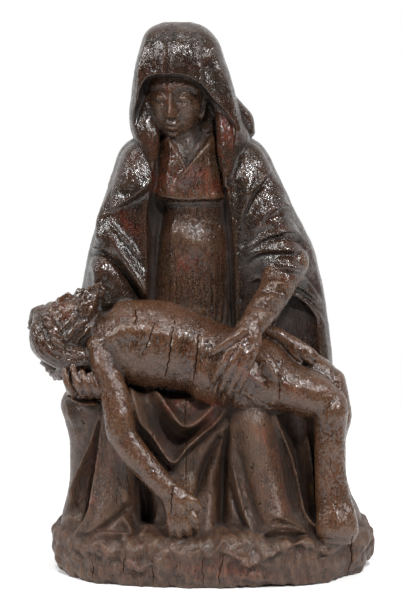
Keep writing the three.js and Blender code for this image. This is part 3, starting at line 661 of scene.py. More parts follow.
# %% [markdown]
# ## Heads
# Both faces are one calm design of the lesson's own on a carver's rule of thumb: the eyes lie halfway
# from crown to chin, the nose ends halfway from the eyes to the chin, and the mouth lies a third of
# the way below it. A head is an egg with its own front, crown and half height, and its features are
# strokes in half heights, (across, up, width, height), pressed out or in along the front.

# %% Heads and faces
ONE_SIDE = [
    # brow, eye socket and lowered lid
    ("round", [(0.09, 0.2, 0.06, 0.02), (0.24, 0.27, 0.07, 0.03), (0.42, 0.24, 0.07, 0.025),
               (0.57, 0.1, 0.07, 0.015)]),
    ("round", [(0.16, 0.06, 0.08, -0.06), (0.29, 0.11, 0.09, -0.055), (0.45, 0.06, 0.09, -0.04)]),
    ("round", [(0.17, -0.01, 0.06, 0.03), (0.28, 0.0, 0.1, 0.08), (0.4, -0.01, 0.07, 0.035)]),
    ("sharp", [(0.13, -0.05, 0.025, -0.03), (0.27, -0.115, 0.028, -0.07), (0.43, -0.07, 0.025, -0.03)]),
    ("sharp", [(0.15, 0.07, 0.022, -0.015), (0.28, 0.12, 0.024, -0.03), (0.44, 0.06, 0.022, -0.012)]),
    ("round", [(0.18, -0.16, 0.045, 0.012), (0.28, -0.19, 0.05, 0.025), (0.4, -0.15, 0.045, 0.012)]),
    # cheek, nostril, corner of the mouth, temple
    ("round", [(0.45, -0.17, 0.15, 0.05), (0.38, -0.36, 0.18, 0.05)]),
    ("round", [(0.1, -0.41, 0.045, 0.07), (0.12, -0.37, 0.045, 0.07), (0.09, -0.31, 0.05, 0.03)]),
    ("sharp", [(0.17, -0.37, 0.03, -0.02), (0.24, -0.5, 0.035, -0.025)]),
    ("round", [(0.215, -0.635, 0.04, -0.04)]),
    ("round", [(0.64, 0.3, 0.16, -0.04), (0.68, 0.1, 0.14, -0.03)]),
]
FACE_MIDDLE = [
    ("round", [(0, 0.17, 0.06, 0.05), (0, -0.05, 0.058, 0.12), (0, -0.25, 0.068, 0.19),
               (0, -0.37, 0.085, 0.23)]),
    ("sharp", [(-0.13, -0.475, 0.04, -0.04), (0, -0.485, 0.04, -0.05), (0.13, -0.475, 0.04, -0.04)]),
    ("round", [(-0.12, -0.62, 0.14, 0.05), (0.12, -0.62, 0.14, 0.05)]),
    ("round", [(-0.16, -0.61, 0.03, 0.02), (-0.05, -0.58, 0.036, 0.055), (0.05, -0.58, 0.036, 0.055),
               (0.16, -0.61, 0.03, 0.02)]),
    ("round", [(-0.12, -0.67, 0.04, 0.03), (0, -0.69, 0.046, 0.075), (0.12, -0.67, 0.04, 0.03)]),
    ("sharp", [(-0.2, -0.64, 0.024, -0.035), (0, -0.63, 0.026, -0.08), (0.2, -0.64, 0.024, -0.035)]),
    ("round", [(-0.1, -0.78, 0.05, -0.05), (0.1, -0.78, 0.05, -0.05)]),
    ("round", [(-0.05, -0.9, 0.13, 0.09), (0.05, -0.9, 0.13, 0.09)]),
    ("sharp", [(0, -0.5, 0.022, -0.02), (0, -0.55, 0.022, -0.02)]),
]
OTHER_SIDE = [(kind, [(-x, z, wide, tall) for x, z, wide, tall in stations]) for kind, stations in ONE_SIDE]
FACE_FORMS = FACE_MIDDLE + ONE_SIDE + OTHER_SIDE


class Look:
    """A head's own frame: its centre, its front, its crown and its half height."""

    def __init__(self, centre, front, crown, half_height):
        self.centre = np.array(centre, float)
        self.ahead = np.array(front, float) / np.linalg.norm(front)
        up = np.array(crown, float) - self.ahead * (np.array(crown, float) @ self.ahead)
        self.up = up / np.linalg.norm(up)
        self.side = np.cross(self.ahead, self.up)
        self.half = half_height

    def world(self, across, forward, up):
        place = np.outer(across, self.side) + np.outer(forward, self.ahead) + np.outer(up, self.up)
        return self.centre + self.half * place


def head(look, wide=0.66, deep=0.8, jaw=0.22, columns=200, rings=150):
    """An egg fuller than a ball, narrowed to the jaw and a little flattened in front, with a face."""
    mesh = ball(columns, rings)[0]
    x, y, z = points_of(mesh).T
    circle = np.maximum(np.sqrt(np.clip(1 - z ** 2, 0, 1)), 0.05)
    full = np.clip(1 - np.abs(z) ** 2.5, 0, 1) ** 0.4 / circle
    below, in_front = np.clip(-z, 0, 1), np.clip(y, 0, 1)
    across = x * wide * full * (1 - jaw * below ** 1.6)
    forward = y * deep * full * (1 - 0.1 * in_front ** 2) * (1 - 0.12 * below ** 2)
    forward = forward + np.clip(y * 1.8, 0, 1) * stroke_heights(across, z, FACE_FORMS, spacing=0.04)
    return shaped(mesh, look.world(across, forward, z))


MOTHER = Look((-40, 5, 501), (-0.18, -1, -0.12), (0.02, -0.1, 1), 52)
SON = Look((-164, -44, 246), (-0.3, -0.34, 0.89), (-0.9, 0, -0.38), 38)
print("heads:", 2 * MOTHER.half, "and", 2 * SON.half, "mm high,", len(FACE_FORMS), "strokes in each face")

# %% [markdown]
# ## Arms, hands and the son's body
# Limbs and fingers are rods that swell at the joints. The son lies stiffly across her lap: his near arm
# hangs, his knees bend over her left leg, and a band of wood left standing ties his shins to the block.

# %% Her arms and hands
LEFT_FOREARM = [
    (85, -22, 311, 24, 24), (77, -32, 297, 22, 22), (69, -48, 280, 19, 19), (54, -72, 261, 17, 16),
    (43, -88, 247, 15, 13), (40, -90, 244, 14, 12),
]
FOREARM_FOLDS = [
    ("sharp", [(56, 282, 3, 2), (70, 285, 3, 4), (86, 282, 3, 3)]),
    ("sharp", [(51, 274, 3, -3), (65, 276, 3, -4), (81, 273, 3, -3)]),
    ("sharp", [(49, 267, 3, 2), (63, 268, 3, 4), (79, 262, 3, 3)]),
    ("sharp", [(45, 259, 3, -2), (58, 259, 3, -4), (72, 252, 3, -3)]),
    ("round", [(71, 279, 4, 2), (63, 261, 4, 2)]),
    ("lip", [(61, 237, 4, 1.5), (47, 245, 4, 2), (31, 248, 4, 1.5)]),
]
LEFT_PALM = [(40, -93, 245, 15, 11), (36, -99, 232, 18, 10), (30, -103, 218, 18, 8)]
LEFT_FINGERS = [
    [(33, -102, 244, 6.2), (23, -105, 236, 6), (13, -106, 229, 5.4), (1, -102, 220, 4.2)],
    [(25, -106, 228, 5.8), (16, -108, 216, 5.6), (8, -106, 203, 5.2), (1, -98, 189, 4.2)],
    [(31, -108, 224, 6), (23, -110, 211, 5.8), (16, -107, 197, 5.4), (10, -98, 180, 4.2)],
    [(38, -108, 221, 6), (31, -110, 208, 5.7), (25, -107, 194, 5.4), (18, -98, 175, 4.2)],
    [(45, -106, 223, 5.8), (39, -108, 209, 5.4), (34, -105, 194, 5), (27, -98, 178, 4)],
]
RIGHT_PALM = [(-147, -10, 187, 18, 18), (-150, -44, 173, 16, 14), (-140, -60, 168, 15, 11)]
RIGHT_FINGERS = [
    [(-164, -78, 198, 3.6), (-163, -83, 190, 3.9), (-160, -84, 180, 4.1), (-154, -76, 170, 4.6)],
    [(-155, -82, 199, 3.6), (-152, -86, 190, 3.9), (-149, -87, 180, 4.1), (-144, -78, 169, 4.6)],
    [(-145, -83, 195, 3.6), (-142, -87, 187, 3.9), (-139, -87, 178, 4.1), (-135, -78, 168, 4.6)],
    [(-136, -82, 192, 3.4), (-133, -86, 185, 3.8), (-129, -85, 176, 4), (-127, -78, 168, 4.4)],
]
RIGHT_CUFF = [(-159, -62, 165, 1.5, 12), (-151, -66, 161, 1.7, 15), (-140, -67, 158, 1.7, 16),
              (-126, -64, 159, 1.5, 13)]


def hand(palm, fingers):
    return [limb(palm, columns=32, spacing=2)] + [limb(points, columns=18, spacing=1.5) for points in fingers]


def her_arms():
    forearm = press(limb(LEFT_FOREARM, columns=90, spacing=1.5), FOREARM_FOLDS)
    return [forearm, *hand(LEFT_PALM, LEFT_FINGERS), *hand(RIGHT_PALM, RIGHT_FINGERS),
            limb(RIGHT_CUFF, spacing=1.5)]


print("her hands:", len(LEFT_FINGERS), "fingers in sight on the left and", len(RIGHT_FINGERS), "on the right")


# %% The son's body
SON_TORSO = [
    (-129, -42, 229, 30, 26), (-113, -46, 225, 43, 35), (-87, -50, 224, 48, 41), (-56, -51, 221, 49, 42),
    (-24, -51, 212, 44, 39), (10, -52, 201, 42, 39), (48, -52, 191, 40, 40), (66, -50, 184, 34, 36),
]
SON_ARM = [
    [(-123, -66, 220, 18, 18), (-121, -76, 201, 14.5, 16), (-114, -81, 186, 14.5, 16),
     (-109, -85, 171, 16, 16), (-105, -90, 152, 16.5, 16), (-102, -94, 132, 16.5, 16),
     (-98, -95, 123, 15, 14)],
    [(-102, -94, 129, 16, 15), (-87, -97, 107, 15.5, 15), (-70, -99, 87, 14.5, 13), (-56, -102, 72, 13.5, 12),
     (-47, -103, 63, 13.5, 11)],
    [(-46, -104, 63, 14, 10), (-38, -106, 53, 18, 10), (-31, -106, 40, 19, 9)],
]
SON_HAND_FINGERS = [
    [(-25, -109, 44, 5.6), (-20, -111, 36, 5.4), (-18, -107, 26, 4.6)],
    [(-32, -110, 41, 5.6), (-29, -112, 30, 5.4), (-27, -107, 19, 4.6)],
    [(-40, -110, 41, 5.6), (-38, -112, 29, 5.4), (-37, -107, 16, 4.6)],
    [(-47, -109, 45, 5.4), (-46, -111, 33, 5.2), (-45, -107, 20, 4.4)],
    [(-35, -107, 59, 6.5), (-23, -110, 56, 6.2), (-15, -108, 48, 4.8)],
]
SON_FAR_ARM = [(48, -36, 244, 8, 9), (62, -46, 238, 7.5, 8), (74, -53, 233, 7.5, 7.5), (85, -58, 225, 9, 6.5),
               (94, -61, 220, 9.5, 5)]
SON_FAR_FINGERS = [
    [(92, -62, 225, 3.8), (101, -64, 222, 3.6), (109, -64, 217, 3.4), (116, -62, 211, 2.8)],
    [(93, -64, 222, 3.8), (101, -66, 218, 3.6), (108, -66, 213, 3.4), (115, -63, 207, 2.8)],
    [(92, -65, 219, 3.8), (99, -67, 214, 3.6), (104, -67, 209, 3.4), (110, -64, 203, 2.8)],
    [(88, -64, 216, 3.6), (93, -66, 211, 3.4), (98, -66, 205, 3)],
]
SON_LEGS = [
    [(39, -62, 183, 38, 34), (66, -64, 180, 33, 32), (91, -67, 174, 28, 29), (117, -69, 164, 25, 26),
     (131, -70, 154, 19, 20)],
    [(131, -69, 158, 19, 20), (131, -72, 149, 20.5, 22), (131, -73, 131, 18, 20), (131, -75, 106, 17.5, 19),
     (132, -77, 75, 18, 18), (135, -80, 50, 20, 17), (138, -86, 29, 23, 18), (139, -90, 16, 23.5, 16),
     (139, -91, 9, 20, 8)],
    [(47, -30, 199, 24, 26), (89, -34, 195, 22, 24), (116, -38, 189, 19, 22), (134, -42, 175, 15, 19)],
    [(134, -42, 178, 16, 18), (138, -45, 158, 16, 18), (141, -46, 138, 15.5, 17), (136, -47, 112, 14, 16),
     (137, -49, 67, 13, 14), (141, -51, 31, 13, 13)],
]
SON_LEG_WEB = [(133, -18, 153, 13, 32), (136, -22, 108, 13, 34), (140, -24, 50, 14, 34),
               (147, -30, 7, 16, 36)]
TORSO_STROKES = [
    # breast, belly and navel
    ("round", [(-124, 217, 10, 3), (-106, 228, 10, 4), (-83, 232, 10, 4), (-63, 230, 9, 3)]),
    ("round", [(-31, 208, 10, -2), (-28, 180, 9, -2)]),
    ("round", [(-8, 215, 12, 3), (1, 201, 10, 2)]),
    ("sharp", [(-7, 216, 2, -3), (-4, 212, 2, -3)]),
]


def son_body():
    torso = press(limb(SON_TORSO, columns=190, spacing=1.5), TORSO_STROKES)
    legs = [limb(leg, columns=64, spacing=2) for leg in SON_LEGS]
    arm = [limb(part, columns=48, spacing=2) for part in SON_ARM]
    fingers = [limb(points, columns=16, spacing=1.2) for points in SON_HAND_FINGERS + SON_FAR_FINGERS]
    return [torso, *legs, *arm, limb(SON_FAR_ARM), *fingers, limb(SON_LEG_WEB)]


print("son:", len(SON_LEGS + SON_ARM), "rods for legs and near arm,",
      len(SON_HAND_FINGERS + SON_FAR_FINGERS), "fingers")


# %% Loincloth
LOINCLOTH = [(3, -54, 198, 44, 42), (26, -55, 193, 44, 43), (50, -55, 188, 42, 42), (65, -56, 181, 38, 38)]
LOINCLOTH_FOLDS = [
    ("sharp", [(-6, 183, 3, 3), (-8, 162, 3, 3.5), (-10, 146, 3, 3)]),
    ("sharp", [(10, 183, 2.5, 3), (4, 164, 2.5, 4), (-1, 146, 2.5, 3)]),
    ("sharp", [(17, 187, 2, -2), (10, 166, 2.5, -4), (6, 146, 2.5, -3)]),
    ("sharp", [(31, 206, 3, 4), (21, 176, 3, 6), (12, 146, 3, 5)]),
    ("sharp", [(36, 201, 2.5, -3), (26, 173, 3, -6), (20, 144, 3, -5)]),
    ("sharp", [(42, 203, 3, 4), (32, 173, 3, 6), (25, 143, 3, 4)]),
    ("sharp", [(45, 199, 2, -4), (38, 187, 2, -7), (30, 169, 2, -8), (28, 150, 2, -5)]),
    ("sharp", [(50, 206, 3, 4), (61, 192, 3, 6), (71, 176, 3, 5)]),
    ("sharp", [(49, 197, 2.5, -2), (56, 183, 2.5, -4), (63, 164, 2.5, -3)]),
    ("sharp", [(42, 180, 3, 3), (56, 169, 3, 4), (68, 160, 3, 3)]),
    ("sharp", [(38, 160, 3, 3), (49, 150, 3, 4), (63, 143, 3, 3)]),
    ("lip", [(68, 146, 4, 4), (76, 166, 4, 6), (73, 185, 4, 6), (58, 208, 4, 4)]),
]


def loincloth():
    return press(limb(LOINCLOTH, columns=170, spacing=1.4), LOINCLOTH_FOLDS)


print("loincloth:", len(LOINCLOTH_FOLDS), "folds")


# %% Locks of hair and beard
BEARD = [
    [(-153, -50, 245, 14, 16), (-142, -52, 262, 13, 14), (-134, -52, 273, 9, 10), (-126, -50, 282, 3.5, 4)],
]
CURLS = [
    (-149, 274, -54), (-142, 276, -56), (-135, 279, -56), (-129, 281, -54), (-147, 267, -62),
    (-140, 269, -62), (-133, 271, -60), (-126, 275, -55), (-149, 259, -68), (-142, 261, -68),
    (-136, 263, -66), (-147, 251, -69), (-140, 253, -69), (-154, 274, -52),
]
NECK_OF_SON = [(-145, -44, 235, 20, 20), (-122, -44, 228, 28, 27)]
HAIR = [
    [(-154, -44, 242, 27, 29), (-167, -44, 234, 32, 32), (-176, -44, 228, 30, 31)],
    [(-192, -56, 239, 12, 14), (-185, -65, 223, 14, 15), (-170, -70, 213, 15, 14), (-153, -70, 209, 14, 12),
     (-133, -66, 206, 10, 9)],
    [(-191, -24, 244, 18, 16), (-171, -16, 216, 22, 16), (-142, -16, 206, 18, 16)],
]


def curl(x, z, y, long=3.4, thick=3.2):
    """One carved curl: a short bead that leans towards the beard's tip."""
    spot = EYE + (Vector((x, 0, z)) - EYE) * ((y - EYE.y) / -EYE.y)
    return limb([(spot.x - long / 2, y, spot.z - long, thick),
                 (spot.x + long / 2, y, spot.z + long, thick * 0.8)],
                columns=12, spacing=1.5)


print("hair:", len(BEARD + HAIR), "locks and", len(CURLS), "curls")


# %% Crown of thorns
CROWN_CENTRE = (-184, -44, 222)
CROWN_AXIS = Vector((-0.88, -0.36, -0.25)).normalized()
CROWN_WIDE, CROWN_HIGH, CROWN_BAND = 36.0, 39.0, 3.6
CROWN_TWIGS = 3
CROWN_TWISTS = 8
CROWN_STEPS = 60
TWIST_OUT = 3.8
CROWN_THORNS = 15
THORN_LEAN = 0.3
THORN_SIDEWAYS = 7
# a thorn from root to tip: (out from the crown, share of its lean, half width)
THORN = ((1, 0, 3.4), (4, 0.45, 2.8), (6, 1, 1.8))


def crown():
    """Twisted twigs round the head, with thorns that stand out of them."""
    turned = Vector((0, 0, 1)).rotation_difference(CROWN_AXIS)
    place = lambda x, y, z: tuple(turned @ Vector((x, y, z)) + Vector(CROWN_CENTRE))
    made = []
    for twig in range(CROWN_TWIGS):
        stations = []
        for i in range(CROWN_STEPS + 1):
            turn = 2 * math.pi * i / CROWN_STEPS
            twist = CROWN_TWISTS * turn + 2 * math.pi * twig / CROWN_TWIGS
            out = TWIST_OUT * math.cos(twist)
            x, y = (CROWN_WIDE + out) * math.cos(turn), (CROWN_HIGH + out) * math.sin(turn)
            stations.append((*place(x, y, TWIST_OUT * math.sin(twist)), CROWN_BAND))
        made.append(limb(stations, columns=10, spacing=2, facing=tuple(CROWN_AXIS)))
    for i in range(CROWN_THORNS):
        turn = 2 * math.pi * i / CROWN_THORNS
        lean = THORN_LEAN * math.sin(2.4 * i)
        side = THORN_SIDEWAYS * math.cos(1.7 * i)
        stations = []
        for far, share, wide in THORN:
            at = turn + lean * share
            x, y = (CROWN_WIDE + far) * math.cos(at), (CROWN_HIGH + far) * math.sin(at)
            stations.append((*place(x, y, side * share), wide))
        made.append(limb(stations, columns=10, spacing=1.5))
    return made


print("crown:", CROWN_TWIGS, "twigs and", CROWN_THORNS, "thorns")


# %% [markdown]
# ## Fusing and finishing the surface
# All the clay is fused into one skin of small even squares, about a millimetre across, and the carver's
# last knife leaves it slightly uneven. Then the skin is thinned to triangles that stay small where it
# bends and grow where it is flat.

# %% Fusing the clay
VOXEL = 1.15
SOFTENINGS = 3
# the last knife's marks (height, size, seed)
KNIFE_MARKS = [(0.2, 11, 3), (0.13, 4.5, 4)]
# how many triangles the thinning aims for, before the cracks and worm holes add theirs;
# with what the cracks and worm holes add, the piece stays under 200,000
TRIANGLES = 177000


def triangles_in(mesh):
    """How many triangles the mesh's faces split into."""
    return sum(len(face.vertices) - 2 for face in mesh.polygons)


forms = {
    "cloak": [cloak(), *(limb(veil, columns=32) for veil in VEILS)],
    "dress": dress(),
    "face": [head(MOTHER), limb(NECK), limb(CAP_EDGE)],
    "flesh": her_arms(),
    "son": [*son_body(), head(SON), limb(NECK_OF_SON), loincloth()],
    "hair": [*(limb(lock, columns=96, spacing=1.3, flutes=15, depth=0.06) for lock in BEARD + HAIR),
             *(curl(*spot) for spot in CURLS), *crown()],
    "skirt": [skirt()],
    "plinth": [plinth()],
}
oak = fused(joined("clay", [mesh for group in forms.values() for mesh in group]), VOXEL)
oak = finished(oak, "SMOOTH", factor=0.5, iterations=SOFTENINGS)
print("fused:", len(oak.vertices), "points")

# %% Knife marks and thinning
points = points_of(oak)
marks = sum(height * uneven(points, size, seed) for height, size, seed in KNIFE_MARKS)
on_underside = points[:, 2] < 1 - PLINTH_HEIGHT
marks[on_underside] = 0
points += normals_of(oak) * marks[:, None]
points[:, 2] = np.maximum(points[:, 2], -PLINTH_HEIGHT)
move_points(oak, points)
oak = finished(oak, "DECIMATE", ratio=min(1, TRIANGLES / (2 * len(oak.polygons))))
print("thinned:", triangles_in(oak), "triangles")

# %% [markdown]
# ## Cracks and worm holes
# Oak shrinks round its heart and splits along the grain, so the cracks are upright, thin and deep. Each
# is cut with a thin blade that follows a line seen from the front. Woodworm leaves round holes about a
# millimetre and a half wide, mostly low down, where the wood stood damp.

# %% Cracks
# each crack's half width and its line on the glass
CRACKS = [
    (0.6, [(-88, 255), (-87, 247), (-88, 238)]),
    (0.6, [(-65, 240), (-70, 227), (-74, 215), (-81, 202)]),
    (0.7, [(-43, 242), (-47, 220), (-49, 201), (-54, 177)]),
    (0.7, [(-16, 227), (-17, 210), (-19, 192), (-22, 172)]),
    (0.5, [(76, 175), (77, 164), (76, 151)]),
    (0.4, [(-30, 155), (-31, 127), (-30, 92), (-31, 59)]),
    (0.5, [(-10, -35), (-12, -47), (-10, -58), (-11, -69)]),
    (0.6, [(14, -30), (11, -42), (8, -54), (8, -69)]),
    (0.6, [(-45, 50), (-47, 34), (-47, 15)]),
    (0.4, [(-68, 115), (-68, 104), (-65, 91)]),
    (0.4, [(-70, -44), (-68, -56), (-69, -67)]),
    (0.6, [(162, -9), (160, -23), (161, -37), (155, -54)]),
    (0.4, [(46, 78), (47, 71), (46, 64)]),
    (0.4, [(-140, -37), (-137, -47), (-139, -58)]),
    (0.4, [(-42, 300), (-41, 283), (-42, 265)]),
    (0.4, [(-1, 282), (0, 270), (-1, 259)]),
    (0.4, [(-1, 90), (-1, 80), (0, 69)]),
    (0.4, [(135, 83), (136, 76), (135, 69)]),
    (0.5, [(-100, -32), (-103, -44), (-101, -54)]),
]
CRACK_DEPTH = 9.0


def hit(tree, x, z):
    """Where the line of sight through (x, z) on the glass first meets the carving."""
    way = (Vector((x, 0, z)) - EYE).normalized()
    return tree.ray_cast(EYE, way)[0]


def blade(tree, line, width):
    """A blade along a line, widest and deepest in its middle, that wanders as a split does."""
    rows = flowing(line, 3, columns=2)
    stations = []
    for i, (x, z) in enumerate(rows):
        spot = hit(tree, x, z)
        if spot is None:
            continue
        open_share = math.sin(math.pi * (i + 0.6) / (len(rows) + 0.2))
        wander = 0.5 * math.sin(1.9 * i) + 0.3 * math.sin(4.7 * i)
        stations.append((spot.x + wander, spot.y, spot.z, width * (0.35 + 0.65 * open_share),
                         CRACK_DEPTH * (0.5 + 0.5 * open_share)))
    return limb(stations, columns=8, spacing=3)


# %% Worm holes
# places with holes: (left, top, right, bottom, how many)
WORM_FIELDS = [
    (22, 121, 89, -2, 26), (-164, 150, -95, 10, 14), (-49, 69, 8, -13, 8),
    (-153, -31, 147, -61, 14), (121, 115, 153, 4, 10), (-9, 191, 100, 150, 6),
    (124, 36, 163, 5, 18),
]
WORM_RADIUS = 0.75
WORM_DEPTH = 5.0
WORM_LEAN = 0.3


def worm_holes(tree, seed=7):
    """Rods bored into the wood from the front, each leaning its own way."""
    random = np.random.default_rng(seed)
    made = []
    for left, top, right, bottom, count in WORM_FIELDS:
        for _ in range(count):
            spot = hit(tree, random.uniform(left, right), random.uniform(bottom, top))
            if spot is not None:
                away = Vector((random.uniform(-WORM_LEAN, WORM_LEAN), 1,
                               random.uniform(-WORM_LEAN, WORM_LEAN))) * WORM_DEPTH
                radius = WORM_RADIUS * random.uniform(0.7, 1.25)
                made.append(limb([(*(spot - away * 0.4), radius),
                                  (*(spot + away), radius)], columns=8, spacing=6))
    return made


tree = BVHTree.FromPolygons([v.co for v in oak.vertices], [p.vertices for p in oak.polygons])
tools = [blade(tree, line, width) for width, line in CRACKS] + worm_holes(tree)
oak = cut(oak, joined("blades", tools))
print("cut:", triangles_in(oak), "triangles with", len(tools), "cracks and holes")

# %% [markdown]
# ## What the finish follows
# The wax, the painted shade in the hollows and what is left of the paint follow the shape, so the surface
# remembers two things.
# Parts says which piece of the group a point belongs to: cloak, flesh, or skirt and rock. Relief says
# how deep in a hollow or how far out on a ridge it lies, found by smoothing the carving and
# looking at how far each point moves.

# %% Smoothing and remembering
def smoothed(values, edges, count, rounds):
    """Mixes each point's values half and half with the mean of its neighbours', again and again."""
    links = np.bincount(edges.ravel(), minlength=count)[:, None]
    one, other = edges.T
    for _ in range(rounds):
        sums = [np.bincount(one, column[other], count) + np.bincount(other, column[one], count)
                for column in values.T]
        values = 0.5 * values + 0.5 * np.stack(sums, 1) / np.maximum(links, 1)
    return values


def remember(mesh, name, colours):
    """Keeps three values at each point as a colour attribute, which a material can read."""
    layer = mesh.color_attributes.new(name, "FLOAT_COLOR", "POINT")
    opaque = np.hstack([colours, np.ones((len(colours), 1))])
    layer.data.foreach_set("color", opaque.astype(np.float32).ravel())


# %% What is left of the paint
RED = [
    ("round", [(-60, 397, 12, 0.7), (-26, 393, 14, 0.8), (10, 396, 12, 0.7)]),
    ("round", [(-54, 420, 9, 0.5), (-9, 412, 9, 0.4)]),
    ("round", [(15, 470, 9, 0.5), (17, 425, 9, 0.6)]),
    ("round", [(-101, 363, 8, 0.4), (-92, 343, 8, 0.4)]),
    ("round", [(-37, 309, 10, 0.4), (-9, 314, 10, 0.5)]),
    ("round", [(-65, 277, 7, 0.5)]),
    ("round", [(-49, 144, 10, 0.9), (-26, 141, 12, 1), (1, 148, 9, 0.9)]),
    ("round", [(-54, 108, 6, 0.4), (-40, 97, 7, 0.6), (-1, 129, 6, 0.6)]),
    ("round", [(-162, 132, 5, 0.9)]),
    ("round", [(-135, 92, 5, 0.6), (-139, 34, 5, 0.6)]),
    ("round", [(-101, 104, 6, 0.4), (-116, 57, 7, 0.3)]),
    ("round", [(56, 115, 8, 0.4), (77, 69, 6, 0.5), (84, 22, 7, 0.5)]),
    ("round", [(37, 183, 7, 0.5), (56, 166, 8, 0.4)]),
    ("round", [(84, 169, 6, 0.5), (102, 160, 6, 0.5)]),
    ("round", [(114, 71, 4, 0.7)]),
    # red on the son's cheek, partly paint and partly a painted highlight where light catches it
    ("round", [(-170, 256, 5, 0.5), (-161, 247, 6, 0.4)]),
    # red beside the mother's nose, partly paint and partly a painted highlight on her lit side
    ("round", [(-54, 504, 6, 0.5), (-46, 482, 6, 0.5)]),
    ("round", [(-130, -37, 12, 0.3), (43, -51, 12, 0.3)]),
]
OCHRE = [
    ("round", [(-26, 258, 4, 0.8), (-10, 254, 4, 0.6)]),
    ("round", [(-42, 80, 3, 1)]),
    ("round", [(114, 48, 3, 1), (117, 31, 3, 0.9)]),
    ("round", [(-174, -44, 8, 0.6), (-154, -54, 8, 0.4)]),
    ("round", [(-91, -37, 6, 0.5)]),
    ("round", [(-31, 104, 10, 0.25), (-26, 10, 12, 0.2)]),
]
points = points_of(oak)
normals = normals_of(oak)
x, z = seen(points)
# paint lies on what faces the viewer, so that a stroke doesn't smear over the sides
ahead = np.clip(-normals[:, 1] * 3, 0, 1)
reds, ochres = ahead * stroke_heights(x, z, RED), ahead * stroke_heights(x, z, OCHRE)
remember(oak, "paint", np.clip(np.stack([reds, ochres, 0 * ahead], axis=1), 0, 1))
print("painted points:", round(float((reds > 0.3).mean()), 3), "red,",
      round(float((ochres > 0.3).mean()), 3), "ochre")

# %% Parts
# shares of (cloak, flesh, skirt and rock)
PART_OF = {
    "cloak": (1, 0, 0), "dress": (0.35, 0.3, 0.35), "face": (0.1, 0.5, 0.4), "flesh": (0, 1, 0),
    "son": (0, 1, 0), "hair": (0.6, 0.4, 0), "skirt": (0, 0, 1), "plinth": (0, 0, 1),
}
clay, owners = [], []
for group, meshes in forms.items():
    for mesh in meshes:
        spots = points_of(mesh)
        clay.append(spots)
        owners += [PART_OF[group]] * len(spots)
clay = np.vstack(clay)
nearest = KDTree(len(clay))
for i, spot in enumerate(clay):
    nearest.insert(spot, i)
nearest.balance()
owner = np.array([owners[nearest.find(spot)[1]] for spot in points], float)
edges = np.empty(len(oak.edges) * 2, np.int32)
oak.edges.foreach_get("vertices", edges)
edges = edges.reshape(-1, 2)
remember(oak, "parts", smoothed(owner, edges, len(points), 3))
print("cloak, flesh and ground:", [round(float(share), 2) for share in owner.mean(axis=0)])

# %% Relief
FINE_ROUNDS, FULL_RIDGE = 6, 0.5
BROAD_ROUNDS, FULL_HOLLOW = 120, 5
fine = ((smoothed(points, edges, len(points), FINE_ROUNDS) - points) * normals).sum(axis=1)
broad = ((smoothed(points, edges, len(points), BROAD_ROUNDS) - points) * normals).sum(axis=1)
relief = np.stack([np.clip(broad / FULL_HOLLOW, 0, 1), np.clip(-fine / FULL_RIDGE, 0, 1)], axis=1)
remember(oak, "relief", smoothed(np.hstack([relief, 0 * relief[:, :1]]), edges, len(points), 1))
hollows, ridges = (relief > 0.3).mean(axis=0)
print("hollow points:", round(float(hollows), 3), "ridge points:", round(float(ridges), 3))

# %% [markdown]
# ## The finish
# The wood is oak that candle smoke, wax and old varnish have turned almost black. Wax lies thick
# and shiny on the cloak and the bodies, where it has crackled, and thin and dull on the skirt and the
# rock, where the grain shows. Red and ochre remain of the paint it once had.

# %% Colours and nodes
def linear(code):
    """A colour from an sRGB hex code, as the linear values Blender works in."""
    parts = [int(code[i:i + 2], 16) / 255 for i in (1, 3, 5)]
    return tuple(c / 12.92 if c <= 0.04045 else ((c + 0.055) / 1.055) ** 2.4 for c in parts) + (1.0,)


def add_node(nodes, kind, inputs=(), **settings):
    """Adds a node, sets its options, and fills or links its inputs by name or number."""
    made = nodes.nodes.new(kind)
    for key, value in settings.items():
        setattr(made, key, value)
    for key, value in dict(inputs).items():
        if isinstance(value, bpy.types.NodeSocket):
            nodes.links.new(value, made.inputs[key])
        else:
            made.inputs[key].default_value = value
    return made


# %% What the material reads
# each pattern: (lumps per metre, detail, roughness, distortion), and across and along for the grain
PATTERNS = {
    # upright streaks 2 mm wide and 40 mm long
    "grain": ((500, 500, 25), 5.0, 0.7, 0.0),
    # pores 13 mm long, really half a millimetre wide and drawn 1.5 mm wide so that they show
    "pores": ((680, 680, 75), 2.0, 0.5, 0.0),
    # ragged patches 40 mm and 25 mm across, where dirt or paint stayed
    "patches": (24.0, 9.0, 0.72, 0.0),
    "scraps": (40.0, 8.0, 0.74, 0.6),
    # wrinkled wax: ripples 3 mm apart, and grit about a millimetre across
    "ripples": (300.0, 2.0, 0.6, 1.2),
    "grit": (800.0, 2.0, 0.7, 0.0),
}


def readings(nodes):
    """The sockets that the finish follows: the place, what the mesh remembers, and the patterns."""
    read = {"place": add_node(nodes, "ShaderNodeTexCoord").outputs["Object"]}
    for layer, names in (("parts", "cloak flesh ground"), ("relief", "hollow ridge"), ("paint", "red ochre")):
        kept = add_node(nodes, "ShaderNodeAttribute", attribute_name=layer).outputs["Color"]
        split = add_node(nodes, "ShaderNodeSeparateColor", {0: kept}).outputs
        read.update(zip(names.split(), split))
    for name, (scale, detail, roughness, distortion) in PATTERNS.items():
        place = read["place"]
        if isinstance(scale, tuple):
            place = add_node(nodes, "ShaderNodeMapping", {"Vector": place, "Scale": scale}).outputs[0]
            scale = 1.0
        read[name] = add_node(nodes, "ShaderNodeTexNoise", {
            "Vector": place, "Scale": scale, "Detail": detail, "Roughness": roughness,
            "Distortion": distortion}).outputs[0]
    read["open pores"] = add_node(nodes, "ShaderNodeMapRange", {
        0: read["pores"], 1: 0.46, 2: 0.60, 3: 0.0, 4: 0.8}).outputs[0]
    return read


